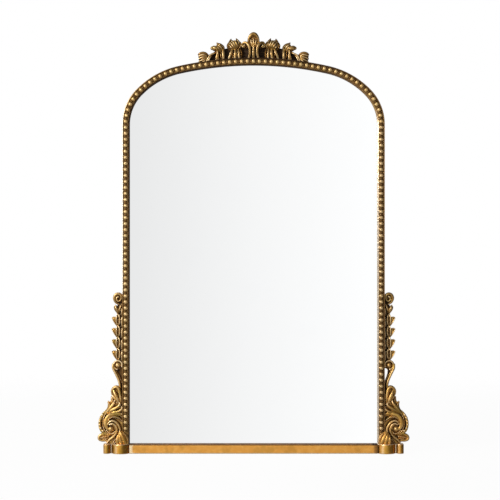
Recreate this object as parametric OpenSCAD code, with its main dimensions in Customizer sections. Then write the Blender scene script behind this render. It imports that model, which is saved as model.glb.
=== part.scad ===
// Gilt arch-top pier mirror with a bead-and-reel frame, carved side scrolls and a carved crest.
// Front view is drawn flat: x to the right, y up, z towards the viewer, measured from the wall.
// stand() then sets it upright: +X right, +Z up, the front facing -Y.

/* [Sight opening and arch] */
// Clear width of glass between the stiles
sight_w = 595; // [420:5:760]
// Height of the arch's springing above the base
spring_z = 790; // [560:5:1100]
// Radius of the tight haunch arc, on the sight edge
haunch_r = 102; // [80:1:130]
// Sweep of the haunch arc
haunch_deg = 44; // [38:0.5:48]
// Radius of the middle arc, on the sight edge
shoulder_r = 185; // [150:1:220]
// Sweep of the middle arc
shoulder_deg = 33.5; // [28:0.5:36]

/* [Frame moulding] */
// Width of the moulding seen from the front
moulding_w = 17.6; // [16:0.1:22]
// Thickness of the moulding in front of the panel
moulding_t = 17.2; // [16:0.1:22]
// Width of the canted sight edge
cant_w = 3.6; // [2.5:0.1:4.5]
// Depth that the cant falls back towards the glass
cant_drop = 6.4; // [4:0.1:7]
// Width of the outer fillet
fillet_w = 2.4; // [1.6:0.1:3.4]
// Height of the ridge between the cant and the bead bed
ridge_h = 0.8; // [0.4:0.1:1.4]
// Depth of the bead bed below the fillet's front
bed_depth = 4.2; // [3:0.1:5]
// Width of the rebate that holds the glass
rebate_w = 6; // [5:0.1:8]

/* [Bead and reel] */
// Diameter of a bead
bead_d = 10.8; // [9:0.1:11.4]
// Distance between beads on the stiles
bead_pitch = 14.45; // [13.6:0.05:18]
// Height of a bead's centre above its bed
bead_lift = 2.2; // [1.5:0.1:3.5]
// Diameter of the reel between two beads
reel_d = 9.4; // [7:0.1:10.8]
// Thickness of the reel
reel_t = 2.2; // [1.4:0.1:2.6]
// Width of the strip's flat ribbon
ribbon_w = 7.6; // [5:0.1:10]
// Thickness of the ribbon
ribbon_t = 1.6; // [1:0.1:2.4]
// Height that the lower end of the strip stays above
foot_clear = 51; // [50:1:64]

/* [Base] */
// Height of the base rail and plinth blocks
rail_h = 22.8; // [20:0.1:30]
// Distance from the wall to the rail's front
rail_depth = 40; // [38:0.5:46]
// Height of the fillet along the rail's top edge
rail_step_h = 2.2; // [1:0.1:4]
// Setback of that fillet
rail_step_d = 4; // [2:0.1:6]
// Radius of the rail's front edges
rail_round = 3; // [1.5:0.1:5]
// Distance from the wall to the front of the large lobe
plinth_depth = 50; // [48:0.5:58]
// Radius of the large lobe
big_lobe_r = 21.5; // [19:0.1:22]
// Radius of the small lobe
small_lobe_r = 8.6; // [7:0.1:10]
// Distance from the wall to the front of the small lobe
small_lobe_depth = 42; // [40:0.5:46]
// Width of the quirk between the lobes
quirk_w = 2.8; // [1.6:0.1:5]
// Distance from the wall to the quirk's floor
quirk_depth = 31; // [28:0.5:36]

/* [Glass and panel] */
// Thickness of the mirror glass
glass_t = 4; // [3:0.5:5]
// Clearance around the glass's edge
glass_gap = 0.6; // [0.4:0.1:1.5]
// Clearance in front of the glass
glass_front_gap = 0.3; // [0.2:0.1:0.6]
// Thickness of the rubber blocks under the glass
block_t = 1.5; // [1:0.1:3]
// Length of a rubber block
block_l = 40; // [20:1:80]
// Thickness of the back panel
panel_t = 10; // [9:0.5:15]

/* [Battens] */
// Thickness of the battens that stand against the wall
batten_t = 8; // [7:0.5:12]
// Width of a batten
batten_w = 40; // [30:1:50]
// Margin between the upright battens and the sight edge
batten_inset = 24; // [12:1:50]
// Height of the upper edge of the top batten
batten_top = 760; // [520:5:780]
// Width of the batten behind the crest
crest_batten_w = 44; // [30:1:60]
// Length of the crest batten above the arch
crest_batten_rise = 28; // [15:1:32]

/* [Hangers] */
// Distance from the centre line to a hanger
hanger_x = 180; // [100:1:200]
// Height of the ring's pivot
hanger_z = 690; // [480:1:700]
// Width of the strap
strap_w = 12; // [10:0.5:14]
// Thickness of the strap
strap_t = 1.2; // [1:0.1:1.5]
// Length of the strap below the pivot
strap_l = 34; // [30:1:45]
// Radius of the ring's wire
wire_r = 1.25; // [1:0.05:1.4]
// Radius of the ring's bow, to the wire's centre
bow_r = 10.3; // [9.5:0.1:12]
// Radial clearance of the ring's bar in the strap's loop
loop_gap = 0.1; // [0.06:0.01:0.15]

/* [Screws] */
// Radius of a screw's shank
shank_r = 1.6; // [1.4:0.1:1.9]
// Radius of a countersunk head
head_r = 3.2; // [2.8:0.1:3.6]
// Height of a countersunk head
head_h = 1.8; // [1.4:0.1:2.2]
// Length of a screw into the frame or the panel
screw_l = 16; // [14:0.5:17]
// Length of a strap screw's shank
strap_screw_l = 8; // [6:0.5:8.5]
// Clearance between a screw and its hole
screw_gap = 0.1; // [0.05:0.01:0.2]

/* [Side carving] */
// Distance from the wall to the carving's flat back
carving_back = 10; // [8:0.5:14]
// Thickness of the carving's ground
ground_t = 11; // [8:0.5:14]
// Thickness of the slab behind the scroll
slab_t = 9; // [6:0.5:11]
// Height of the lowest husk above the base
husk_z = 226; // [226:1:250]
// Distance between husks
husk_pitch = 27.2; // [25:0.1:32]
// Number of husks
husk_count = 4; // [2:1:5]
// Clearance between two pieces of carving
carving_gap = 0.25; // [0.1:0.05:0.3]
// Thickness of the foot leaf
foot_leaf_t = 11; // [8:0.5:12]

/* [Crest] */
// Height of the finial above the arch
finial_h = 62.4; // [56:0.2:70]
// Half width of the dark plate behind the crest
plate_half_w = 117; // [112:1:124]
// Height of the plate at its middle
plate_h = 40; // [38:0.5:46]
// Greatest thickness of the crest's carving
crest_t = 22; // [18:0.5:26]

/* [Hidden] */

GILT = "goldenrod";
DARK_GILT = "saddlebrown";
PINE = "burlywood";
STEEL = "silver";
eps = 0.01;
reach = 3000;

wall_y = plinth_depth / 2;
panel_back = batten_t;
panel_front = panel_back + panel_t;
glass_front = panel_front + glass_t;
lip_back = glass_front + glass_front_gap;
fillet_v = panel_front + moulding_t;
bed_v = fillet_v - bed_depth;
sight_half = sight_w / 2;
outer_half = sight_half + moulding_w;

// The five-centred arch: haunch, shoulder and crown arcs share a tangent where they meet.
crown_deg = 90 - haunch_deg - shoulder_deg;
haunch_c = [sight_half - haunch_r, spring_z];
shoulder_c = haunch_c - (shoulder_r - haunch_r) * [cos(haunch_deg), sin(haunch_deg)];
crown_r = shoulder_r + shoulder_c[0] / sin(crown_deg);
crown_c = [0, shoulder_c[1] - (crown_r - shoulder_r) * cos(crown_deg)];
sight_top = crown_c[1] + crown_r;
crown_top = sight_top + moulding_w;

// The bead line runs along the middle of the bed.
bead_u = (cant_w + moulding_w - fillet_w) / 2;
stile_beads = floor((spring_z - foot_clear) / bead_pitch);
arch_beads = 2 * floor(arch_length(bead_u) / bead_pitch) + 1;
arch_pitch = 2 * arch_length(bead_u) / arch_beads;

seat_u = (rebate_w + moulding_w) / 2;
glass_bottom = rail_h - rebate_w + block_t;
glass_over = rebate_w - glass_gap;
plinth_out = sight_half + 2 * big_lobe_r + quirk_w + 2 * small_lobe_r;
loop_r = wire_r + loop_gap;
pivot_v = panel_back - strap_t - loop_r;

// ---------- functions ----------

function rad(deg) = deg * PI / 180;

// Lengths along the arch, u outside the sight edge: half the crown arc, and crown to springing.
function crown_half_l(u) = rad(crown_deg) * (crown_r + u);
function arch_length(u) = crown_half_l(u) + rad(shoulder_deg) * (shoulder_r + u)
    + rad(haunch_deg) * (haunch_r + u);

function polar(c, r, a) = [c[0] + r * cos(a), c[1] + r * sin(a)];

// Point on the arch at distance s from the crown, u outside the sight edge: [x, y, direction of the normal].
function arch_at(s, u) = s < 0 ? mirrored(arch_at(-s, u)) :
    let (crown_l = crown_half_l(u), shoulder_l = rad(shoulder_deg) * (shoulder_r + u),
        in_crown = s <= crown_l, in_shoulder = s <= crown_l + shoulder_l,
        c = in_crown ? crown_c : in_shoulder ? shoulder_c : haunch_c,
        r = u + (in_crown ? crown_r : in_shoulder ? shoulder_r : haunch_r),
        a = in_crown ? 90 - s / r * 180 / PI
            : in_shoulder ? 90 - crown_deg - (s - crown_l) / r * 180 / PI
            : haunch_deg - (s - crown_l - shoulder_l) / r * 180 / PI)
    concat(polar(c, r, a), a);

function mirrored(p) = [-p[0], p[1], 180 - p[2]];

function arc_points(c, r, from, to, n) = [for (i = [0:n]) polar(c, r, from + (to - from) * i / n)];

// Right half of the arch's outline, from the springing to the crown, u outside the sight edge.
function half_arch(u) = concat(
    arc_points(haunch_c, haunch_r + u, 0, haunch_deg, 12),
    arc_points(shoulder_c, shoulder_r + u, haunch_deg, 90 - crown_deg, 12),
    arc_points(crown_c, crown_r + u, 90 - crown_deg, 90 - eps, 10));

function arch_outline(u, bottom) = let (half = half_arch(u), n = len(half)) concat(
    [[sight_half + u, bottom]], half,
    [for (i = [n - 1:-1:0]) [-half[i][0], half[i][1]]], [[-sight_half - u, bottom]]);

// Smooth curve through four neighbours.
function between(p0, p1, p2, p3, t) = 0.5 * (2 * p1 + (p2 - p0) * t
    + (2 * p0 - 5 * p1 + 4 * p2 - p3) * t * t + (3 * p1 - p0 - 3 * p2 + p3) * t * t * t);

function clamped(points, i) = points[max(0, min(len(points) - 1, i))];

// A strand's spine: each point is [across, up, half width, thickness].
function spine(points, steps) = concat(
    [for (i = [0:len(points) - 2], j = [0:steps - 1])
        between(clamped(points, i - 1), points[i], points[i + 1], clamped(points, i + 2), j / steps)],
    [points[len(points) - 1]]);

function heading(line, i) = let (a = clamped(line, i - 1), b = clamped(line, i + 1),
    d = [b[0] - a[0], b[1] - a[1]]) d / norm(d);

function is_slim(points) = max([for (p = points) p[2]]) < 2.7;

// Cross-section of a strand: upright sides on the ground, then a ridge, rounded where the strand is wide.
function section(line, i) = let (p = line[i], d = heading(line, i), n = [-d[1], d[0]],
    w = max(0.5, p[2]), t = max(2, p[3]), g = min(ground_t, 0.55 * t), h = g + 0.76 * (t - g),
    cut = is_slim(line) ? [[-1, 0], [-1, g], [0, t], [1, g], [1, 0]]
        : [[-1, 0], [-1, g], [-0.66, h], [0, t], [0.66, h], [1, g], [1, 0]])
    [for (c = cut) [p[0] + n[0] * w * c[0], p[1] + n[1] * w * c[0], c[1]]];

function ring_points(c, r, from, to, n, w, t) = [for (i = [0:n]) let (a = from + (to - from) * i / n)
    [c[0] + r * cos(a), c[1] + r * sin(a), w, t]];

// ---------- shared shapes ----------

module stand() {
    translate([0, wall_y, 0]) rotate([90, 0, 0]) children();
}

module on_left() {
    mirror([1, 0, 0]) children();
}

module both_sides() {
    children();
    on_left() children();
}

// Revolves a section, drawn as [distance outside the sight edge, distance from the wall], along one arc.
module sweep(c, r, from, to) {
    translate([c[0], c[1], 0]) rotate([0, 0, from])
        rotate_extrude(angle = to - from, $fn = 240) translate([r, 0]) children();
}

module sweep_haunch() {
    sweep(haunch_c, haunch_r, 0, haunch_deg) children();
}

module sweep_shoulder() {
    sweep(shoulder_c, shoulder_r, haunch_deg, 90 - crown_deg) children();
}

module sweep_crown() {
    sweep(crown_c, crown_r, 90 - crown_deg, 90 + crown_deg) children();
}

// Runs the same section up the right-hand stile.
module run_up(from, to) {
    translate([sight_half, to, 0]) rotate([90, 0, 0]) linear_extrude(to - from) children();
}

module segment(a, b) {
    n = len(a);
    hull() polyhedron(concat(a, b), concat(
        [[for (k = [0:n - 1]) k], [for (k = [2 * n - 1:-1:n]) k]],
        [for (k = [0:n - 1]) [k, k + n, (k + 1) % n + n, (k + 1) % n]]));
}

// One carved strand: a half-round rib that swells and tapers along a smooth curve.
module strand(points, steps = 2) {
    line = spine(points, steps);
    for (i = [0:len(line) - 2]) segment(section(line, i), section(line, i + 1));
}

module boss(x, y, r, lift) {
    translate([x, y, lift]) sphere(r, $fn = 14);
    translate([x, y, 0]) cylinder(h = lift, r = 0.9 * r, $fn = 14);
}

module screw(length) {
    cylinder(h = head_h, r1 = head_r, r2 = shank_r, $fn = 32);
    cylinder(h = length, r = shank_r, $fn = 32);
}

module screw_hole(length) {
    translate([0, 0, -eps])
        cylinder(h = head_h + eps, r1 = head_r + screw_gap, r2 = shank_r + screw_gap, $fn = 32);
    cylinder(h = length + screw_gap, r = shank_r + screw_gap, $fn = 32);
}

// ---------- where the screws go ----------

stile_screw_n = 4;
screw_margin = 40;
shoulder_mid = polar(shoulder_c, shoulder_r + seat_u, haunch_deg + shoulder_deg / 2);
haunch_mid = polar(haunch_c, haunch_r + seat_u, haunch_deg / 2);
function stile_screw_y(i) = rail_h + screw_margin
    + (spring_z - rail_h - 2 * screw_margin) * i / (stile_screw_n - 1);
foot_screw = [sight_half + moulding_w / 2, (rail_h - rebate_w) / 2];
side_screws = concat([foot_screw],
    [for (i = [0:stile_screw_n - 1]) [sight_half + seat_u, stile_screw_y(i)]],
    [shoulder_mid, haunch_mid]);
middle_screws = concat([for (s = [-0.5, 0.5]) arch_at(s * crown_half_l(seat_u), seat_u)],
    [for (f = [-0.8, -0.28, 0.28, 0.8]) [f * sight_half, foot_screw[1]]]);

batten_x = sight_half - batten_inset - batten_w / 2;
cross_half = batten_x - batten_w / 2;
upright_screws = [for (f = [0.12, 0.5, 0.88]) [batten_x, f * batten_top]];
cross_screws = [for (f = [-0.7, 0.7], y = [batten_w / 2, batten_top - batten_w / 2]) [f * cross_half, y]];
crest_screws = concat([for (y = [batten_top + screw_margin, sight_top - screw_margin]) [0, y]],
    [for (f = [-0.28, 0.28]) [f * crest_batten_w, crown_top + 0.55 * crest_batten_rise]]);
strap_screw_y = [for (f = [0.52, 0.84]) hanger_z - f * strap_l];

module at_points(points, v) {
    for (p = points) translate([p[0], p[1], v]) children();
}

module frame_screw_places() {
    at_points(side_screws, panel_back) children();
    on_left() at_points(side_screws, panel_back) children();
    at_points(middle_screws, panel_back) children();
}

module batten_screw_places() {
    at_points(upright_screws, 0) children();
    on_left() at_points(upright_screws, 0) children();
    at_points(cross_screws, 0) children();
    at_points(crest_screws, 0) children();
}

module strap_screw_places() {
    for (s = [-1, 1], y = strap_screw_y) translate([s * hanger_x, y, panel_back - strap_t]) children();
}

// ---------- back ----------

module back_panel() {
    color(PINE) stand() difference() {
        translate([0, 0, panel_back]) linear_extrude(panel_t) polygon(arch_outline(moulding_w, 0));
        frame_screw_places() screw_hole(screw_l);
        batten_screw_places() screw_hole(screw_l);
        strap_screw_places() strap_hole();
    }
}

module upright_batten() {
    difference() {
        translate([batten_x - batten_w / 2, 0, 0]) cube([batten_w, batten_top, batten_t]);
        at_points(upright_screws, 0) screw_hole(screw_l);
    }
}

module left_batten() {
    color(PINE) stand() on_left() upright_batten();
}

module right_batten() {
    color(PINE) stand() upright_batten();
}

module cross_batten(y) {
    difference() {
        translate([-cross_half, y, 0]) cube([2 * cross_half, batten_w, batten_t]);
        at_points(cross_screws, 0) screw_hole(screw_l);
    }
}

module top_batten() {
    color(PINE) stand() cross_batten(batten_top - batten_w);
}

module bottom_batten() {
    color(PINE) stand() cross_batten(0);
}

module crest_batten() {
    color(PINE) stand() difference() {
        translate([-crest_batten_w / 2, batten_top, 0])
            cube([crest_batten_w, crown_top + crest_batten_rise - batten_top, batten_t]);
        at_points(crest_screws, 0) screw_hole(screw_l);
    }
}

// ---------- glass ----------

module mirror_glass() {
    color("lightsteelblue") stand() translate([0, 0, panel_front]) linear_extrude(glass_t)
        polygon(arch_outline(glass_over, glass_bottom));
}

module setting_blocks() {
    color("dimgray") stand() for (s = [-1, 1])
        translate([s * sight_half / 2 - block_l / 2, rail_h - rebate_w, panel_front])
            cube([block_l, block_t, glass_t]);
}

// ---------- base ----------

// Section of the rail: [distance from the wall, height].
module rail_section() {
    round_v = rail_depth - rail_round;
    step_v = rail_depth - rail_step_d;
    step_y = rail_h - rail_step_h;
    polygon(concat(
        [[panel_front, 0]],
        arc_points([round_v, rail_round], rail_round, -90, 0, 5),
        arc_points([round_v, step_y - rail_round], rail_round, 0, 90, 5),
        [[step_v, step_y], [step_v, rail_h], [lip_back, rail_h],
            [lip_back, rail_h - rebate_w], [panel_front, rail_h - rebate_w]]));
}

module base_rail() {
    color(GILT) stand() difference() {
        translate([sight_half, 0, 0]) rotate([0, -90, 0]) linear_extrude(sight_w) rail_section();
        frame_screw_places() screw_hole(screw_l);
    }
}

// Plan of the block under a stile: [across, distance from the wall], two half-round lobes and a quirk.
module plinth_plan() {
    translate([sight_half, panel_front]) square([plinth_out - sight_half, quirk_depth - panel_front]);
    translate([outer_half, panel_back]) square([plinth_out - outer_half, quirk_depth - panel_back]);
    translate([sight_half + big_lobe_r, plinth_depth - big_lobe_r]) circle(big_lobe_r, $fn = 96);
    translate([plinth_out - small_lobe_r, small_lobe_depth - small_lobe_r]) circle(small_lobe_r, $fn = 64);
}

module plinth() {
    difference() {
        translate([0, rail_h, 0]) rotate([90, 0, 0]) linear_extrude(rail_h) difference() {
            plinth_plan();
            square([outer_half, panel_front]);
        }
        translate([0, rail_h - rebate_w, 0]) cube([sight_half + rebate_w, rebate_w + eps, lip_back]);
        at_points([foot_screw], panel_back) screw_hole(screw_l);
    }
}

module left_plinth() {
    color(GILT) stand() on_left() plinth();
}

module right_plinth() {
    color(GILT) stand() plinth();
}

// ---------- frame moulding ----------

// Section: a fillet outside, a flat bed for the beads, and a cant that falls to the glass.
fillet_round = 1.2;
module moulding_section() {
    polygon(concat(
        [[rebate_w, panel_front], [moulding_w, panel_front]],
        arc_points([moulding_w - fillet_round, fillet_v - fillet_round], fillet_round, 0, 90, 4),
        [[moulding_w - fillet_w, fillet_v], [moulding_w - fillet_w, bed_v], [cant_w, bed_v],
            [cant_w, bed_v + ridge_h], [cant_w - ridge_h, bed_v + ridge_h],
            [0, bed_v - cant_drop], [0, lip_back], [rebate_w, lip_back]]));
}

module stile() {
    difference() {
        run_up(rail_h, spring_z) moulding_section();
        at_points(side_screws, panel_back) screw_hole(screw_l);
    }
}

module left_stile() {
    color(GILT) stand() on_left() stile();
}

module right_stile() {
    color(GILT) stand() stile();
}

module haunch() {
    difference() {
        sweep_haunch() moulding_section();
        at_points(side_screws, panel_back) screw_hole(screw_l);
    }
}

module left_haunch() {
    color(GILT) stand() on_left() haunch();
}

module right_haunch() {
    color(GILT) stand() haunch();
}

module shoulder() {
    difference() {
        sweep_shoulder() moulding_section();
        at_points(side_screws, panel_back) screw_hole(screw_l);
    }
}

module left_shoulder() {
    color(GILT) stand() on_left() shoulder();
}

module right_shoulder() {
    color(GILT) stand() shoulder();
}

module crown() {
    color(GILT) stand() difference() {
        sweep_crown() moulding_section();
        at_points(middle_screws, panel_back) screw_hole(screw_l);
    }
}

// ---------- bead and reel ----------

module ribbon_section() {
    translate([bead_u - ribbon_w / 2, bed_v]) square([ribbon_w, ribbon_t]);
}

module bead() {
    sphere(bead_d / 2, $fn = 32);
}

module reel(t = reel_t) {
    rotate([90, 0, 0]) cylinder(h = t, r = reel_d / 2, center = true, $fn = 32);
}

// Everything in a strip is cut flat where it lies on its bed.
module on_bed() {
    difference() {
        children();
        translate([-reach / 2, -reach / 2, bed_v - bead_d]) cube([reach, reach, bead_d]);
    }
}

module stile_strip() {
    foot_y = spring_z - stile_beads * bead_pitch;
    on_bed() union() {
        run_up(foot_y, spring_z) ribbon_section();
        translate([sight_half + bead_u, 0, bed_v + bead_lift]) {
            for (i = [0:stile_beads - 1]) translate([0, spring_z - (i + 0.5) * bead_pitch, 0]) bead();
            for (i = [1:stile_beads - 1]) translate([0, spring_z - i * bead_pitch, 0]) reel();
            translate([0, spring_z - reel_t / 4, 0]) reel(reel_t / 2);
            translate([0, foot_y + reel_t / 4, 0]) reel(reel_t / 2);
        }
    }
}

module left_bead_strip() {
    color(GILT) stand() on_left() stile_strip();
}

module right_bead_strip() {
    color(GILT) stand() stile_strip();
}

module along_arch(s) {
    p = arch_at(s, bead_u);
    translate([p[0], p[1], bed_v + bead_lift]) rotate([0, 0, p[2]]) children();
}

module arch_bead_strip() {
    n = floor(arch_beads / 2);
    color(GILT) stand() on_bed() union() {
        sweep_crown() ribbon_section();
        both_sides() {
            sweep_haunch() ribbon_section();
            sweep_shoulder() ribbon_section();
        }
        for (i = [-n:n]) along_arch(i * arch_pitch) bead();
        for (i = [-n:n - 1]) along_arch((i + 0.5) * arch_pitch) reel();
        for (s = [-1, 1]) along_arch(s * ((n + 0.5) * arch_pitch - reel_t / 4)) reel(reel_t / 2);
    }
}

// ---------- side carving ----------
// Drawn for the right-hand side: x is measured outward from the frame's outer edge.

module beside_frame() {
    translate([outer_half, 0, carving_back]) children();
}

// Keeps what lies outside the frame's edge, between two heights.
module trimmed(bottom, top = reach) {
    intersection() {
        union() children();
        translate([0, bottom, 0]) cube([reach, top - bottom, reach]);
    }
}

// The joint between the volute's bud and the leaves of the scroll below it.
module below_joint(gap) {
    translate([0, gap, 0]) linear_extrude(2 * reach, center = true)
        polygon([[-40, 0], [-40, 117], [6, 117], [15, 123], [23, 133], [28, 143], [80, 150], [80, 0]]);
}

// An open pod between two leaves, pointing up.
module husk() {
    strand([[12, 0, 2, 11], [8.6, 12, 1.8, 17], [9.6, 21, 1.7, 16], [12, 27, 1.2, 13]], 1);
    strand([[12, 0, 2, 11], [15.4, 12, 1.8, 17], [14.4, 21, 1.7, 16], [12, 27, 1.2, 13]], 1);
    strand([[12.5, 1, 1.8, 12], [18.5, 9, 3.2, 15], [24, 20.5, 1.4, 12]], 1);
    strand([[11, 1, 1.8, 12], [5.5, 9, 2.4, 14], [1.6, 20.5, 1.8, 12]], 1);
}

module garland() {
    top = husk_z + husk_count * husk_pitch;
    trimmed(husk_z) {
        strand([[12, husk_z, 2, 11], [12, top, 2, 11], [10, top + 22, 2.2, 12]], 1);
        for (i = [0:husk_count - 1]) translate([0, husk_z + i * husk_pitch, 0]) husk();
        translate([0, top, 0]) {
            strand([[10, 2, 1.8, 11], [15, 10, 2.6, 14], [20, 21, 1.4, 12]], 1);
            strand([[9, 2, 1.8, 11], [5, 12, 2.4, 14], [1.4, 21.5, 1.8, 12]], 1);
            strand([[8, 19, 2.6, 13], [17.5, 25.5, 3.4, 18], [21, 37, 3.7, 20], [15, 48.5, 3.7, 21],
                [5.5, 47.5, 3.5, 21], [2.2, 37.5, 3.2, 20], [7, 29.5, 2.8, 19], [13.4, 31.5, 2.5, 18],
                [12.6, 38, 1.8, 16]], 1);
        }
    }
}

// The round volute, its stem and the curled bud that the stem ends in.
module volute() {
    centre = [12.4, 212];
    difference() {
        trimmed(0, husk_z - carving_gap) {
            strand(ring_points(centre, 10.2, -75, 195, 9, 2.9, 18), 1);
            strand([[22.4, 213.6, 2.9, 17.6], [23.1, 203, 3.1, 18], [19.4, 189, 3.2, 17],
                [14, 176, 3.2, 17], [9.4, 164, 3, 17], [8.5, 156, 2.6, 17]], 1);
            strand([[15.5, 201, 2, 14], [14.3, 189, 2.4, 15], [9, 176, 2.4, 15], [4.5, 163, 2.2, 15]]);
            boss(centre[0], centre[1] - 1.4, 7, 9);
            strand([[10, 158, 3, 20], [19.5, 156.5, 3.4, 22], [24.4, 149, 3.6, 24], [22.6, 139, 3.4, 24],
                [16.5, 130, 3, 22], [10, 122, 2.4, 18]]);
            strand([[17.5, 149, 2.4, 22], [13.5, 142, 3, 25], [9.5, 131, 3, 24], [4.5, 118, 2.4, 20]]);
            strand([[8, 158, 2.6, 18], [4, 148, 2.8, 20], [2.6, 136, 2.8, 20], [2.2, 118, 2.4, 17]]);
        }
        below_joint(carving_gap);
    }
}

// The big C-scroll that stands on the plinth, with its ribbed rim, boss and fan of leaves.
module scroll() {
    intersection() {
        trimmed(rail_h) {
            linear_extrude(slab_t) polygon([[0, 20], [0, 108], [14, 116], [33, 112], [45, 100], [54, 84],
                [54, 64], [47, 50], [38, 42], [37, 20]]);
            strand([[44, 101, 3.2, 16], [51.5, 92, 3.4, 18], [54.6, 79, 3.6, 19], [54, 66, 3.6, 19],
                [49.6, 54.5, 3.4, 18], [42, 46.5, 3, 17], [33, 43.5, 2.6, 16]], 1);
            for (i = [0:4]) rim_pearl(i);
            strand([[37, 99, 2.8, 20], [44.6, 87, 3, 24], [46.4, 71, 3.2, 26], [42.2, 56, 3.2, 26],
                [33.5, 47.5, 3, 25], [23.5, 46.5, 2.8, 23], [16.5, 53, 2.2, 20]]);
            strand([[41, 74, 2.8, 20], [33.8, 67, 2.8, 23], [25, 69.5, 2.8, 24], [16.4, 60, 2.8, 24],
                [19, 48, 2.8, 23], [27, 40.5, 2.8, 21], [37, 28, 2.6, 18]]);
            strand([[42, 81, 2.8, 21], [33.8, 75.5, 2.8, 23], [23.5, 77.5, 3, 24], [12.4, 70, 3, 24],
                [7.6, 55, 3, 23], [10.6, 40, 3, 22], [20, 26, 2.8, 19]]);
            strand([[41, 88, 2.8, 21], [32, 84.5, 2.8, 22], [20, 86, 3, 22], [8, 81.5, 3, 21],
                [1, 71, 2.2, 18]], 1);
            strand([[39, 95, 2.8, 20], [31, 92.5, 2.8, 21], [20, 95.5, 3, 21], [8, 92, 3, 20],
                [1, 84, 2.2, 17]], 1);
            boss(29.5, 59, 6.4, 20);
            strand([[36, 99, 2.4, 18], [22, 102, 2.6, 22], [8.5, 101, 2.8, 23], [3.4, 106, 2.2, 20],
                [7.5, 113, 1.8, 18]], 1);
            strand([[36.5, 100, 2.4, 18], [24, 107.5, 2.8, 23], [14, 112, 2.8, 24], [8, 115, 2, 19]], 1);
            strand([[37.5, 101, 2.6, 18], [29, 112, 3, 22], [22, 121.5, 3, 24], [19, 125, 1.8, 20]], 1);
            strand([[31, 108, 3.4, 15], [30.5, 121, 3.8, 19], [26.5, 134, 2.2, 17]]);
            strand([[33, 106, 3.4, 14], [36, 116, 3.4, 17], [37.5, 123, 2, 16]], 1);
            strand([[32, 41, 2.8, 16], [45, 45, 3.2, 18], [55.5, 42.5, 3.2, 18], [59.4, 36, 2.8, 17],
                [57, 29.5, 2.2, 15]], 1);
            strand([[34, 36, 2.8, 16], [46, 38.5, 3.4, 18], [52, 34.5, 2.8, 18], [49, 29, 2.2, 16]], 1);
        }
        below_joint(0);
    }
}

// The rim's pearls follow an arc about the middle of the scroll.
module rim_pearl(i) {
    a = 46 - 22 * i;
    translate([29 + 27.5 * cos(a), 73 + 30 * sin(a), 17]) sphere(3.6, $fn = 8);
}

// The leaf that lies over the foot of the stile.
module foot_leaf() {
    translate([outer_half, 0, fillet_v + carving_gap]) intersection() {
        union() {
            t = foot_leaf_t;
            strand([[4, 49, 2, 0.6 * t], [1, 44, 3, 0.9 * t], [-6, 43, 2.6, 0.8 * t],
                [-12, 41.5, 1.6, 0.6 * t]], 1);
            strand([[3, 49, 2.4, 0.8 * t], [-1, 39, 3, t], [-7, 33, 2.6, 0.9 * t],
                [-12.4, 28.5, 1.6, 0.6 * t]], 1);
            strand([[4, 48, 2.4, 0.8 * t], [2, 38, 3, t], [-1, 30, 2.6, 0.9 * t], [-3, 22, 1.8, 0.6 * t]], 1);
            strand([[5, 48, 2.2, 0.8 * t], [6.5, 37, 2.8, 0.9 * t], [7.5, 28, 2.2, 0.8 * t],
                [9, 22, 1.6, 0.6 * t]], 1);
        }
        translate([-reach / 2, rail_h, 0]) cube(reach);
    }
}

module left_garland() {
    color(GILT) stand() on_left() beside_frame() garland();
}

module right_garland() {
    color(GILT) stand() beside_frame() garland();
}

module left_volute() {
    color(GILT) stand() on_left() beside_frame() volute();
}

module right_volute() {
    color(GILT) stand() beside_frame() volute();
}

module left_scroll() {
    color(GILT) stand() on_left() beside_frame() scroll();
}

module right_scroll() {
    color(GILT) stand() beside_frame() scroll();
}

module left_foot_leaf() {
    color(GILT) stand() on_left() foot_leaf();
}

module right_foot_leaf() {
    color(GILT) stand() foot_leaf();
}

// ---------- crest ----------
// Drawn with y measured up from the top of the arch, and x from the middle.

plate_top = [[0, 1], [0.17, 1], [0.24, 0.9], [0.36, 0.78], [0.5, 0.62], [0.6, 0.59], [0.74, 0.54],
    [0.83, 0.36], [0.9, 0.27], [0.96, 0.14], [1, -0.12]];

module crest_plate() {
    half = [for (p = plate_top) [p[0] * plate_half_w, crown_top + p[1] * plate_h]];
    low = crown_top - plate_h;
    color(DARK_GILT) stand() difference() {
        translate([0, 0, panel_back]) linear_extrude(panel_t) difference() {
            polygon(concat([[-plate_half_w, low], [plate_half_w, low]],
                [for (i = [len(half) - 1:-1:0]) half[i]], [for (p = half) [-p[0], p[1]]]));
            translate(crown_c) circle(crown_r + moulding_w, $fn = 720);
        }
        at_points(crest_screws, 0) screw_hole(screw_l);
    }
}

// Crest carving lies on the plate and is cut to the curve of the frame below it.
module on_plate() {
    difference() {
        translate([0, crown_top, panel_front]) children();
        translate([crown_c[0], crown_c[1], 0]) cylinder(h = reach, r = crown_r + moulding_w, $fn = 540);
    }
}

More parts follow.
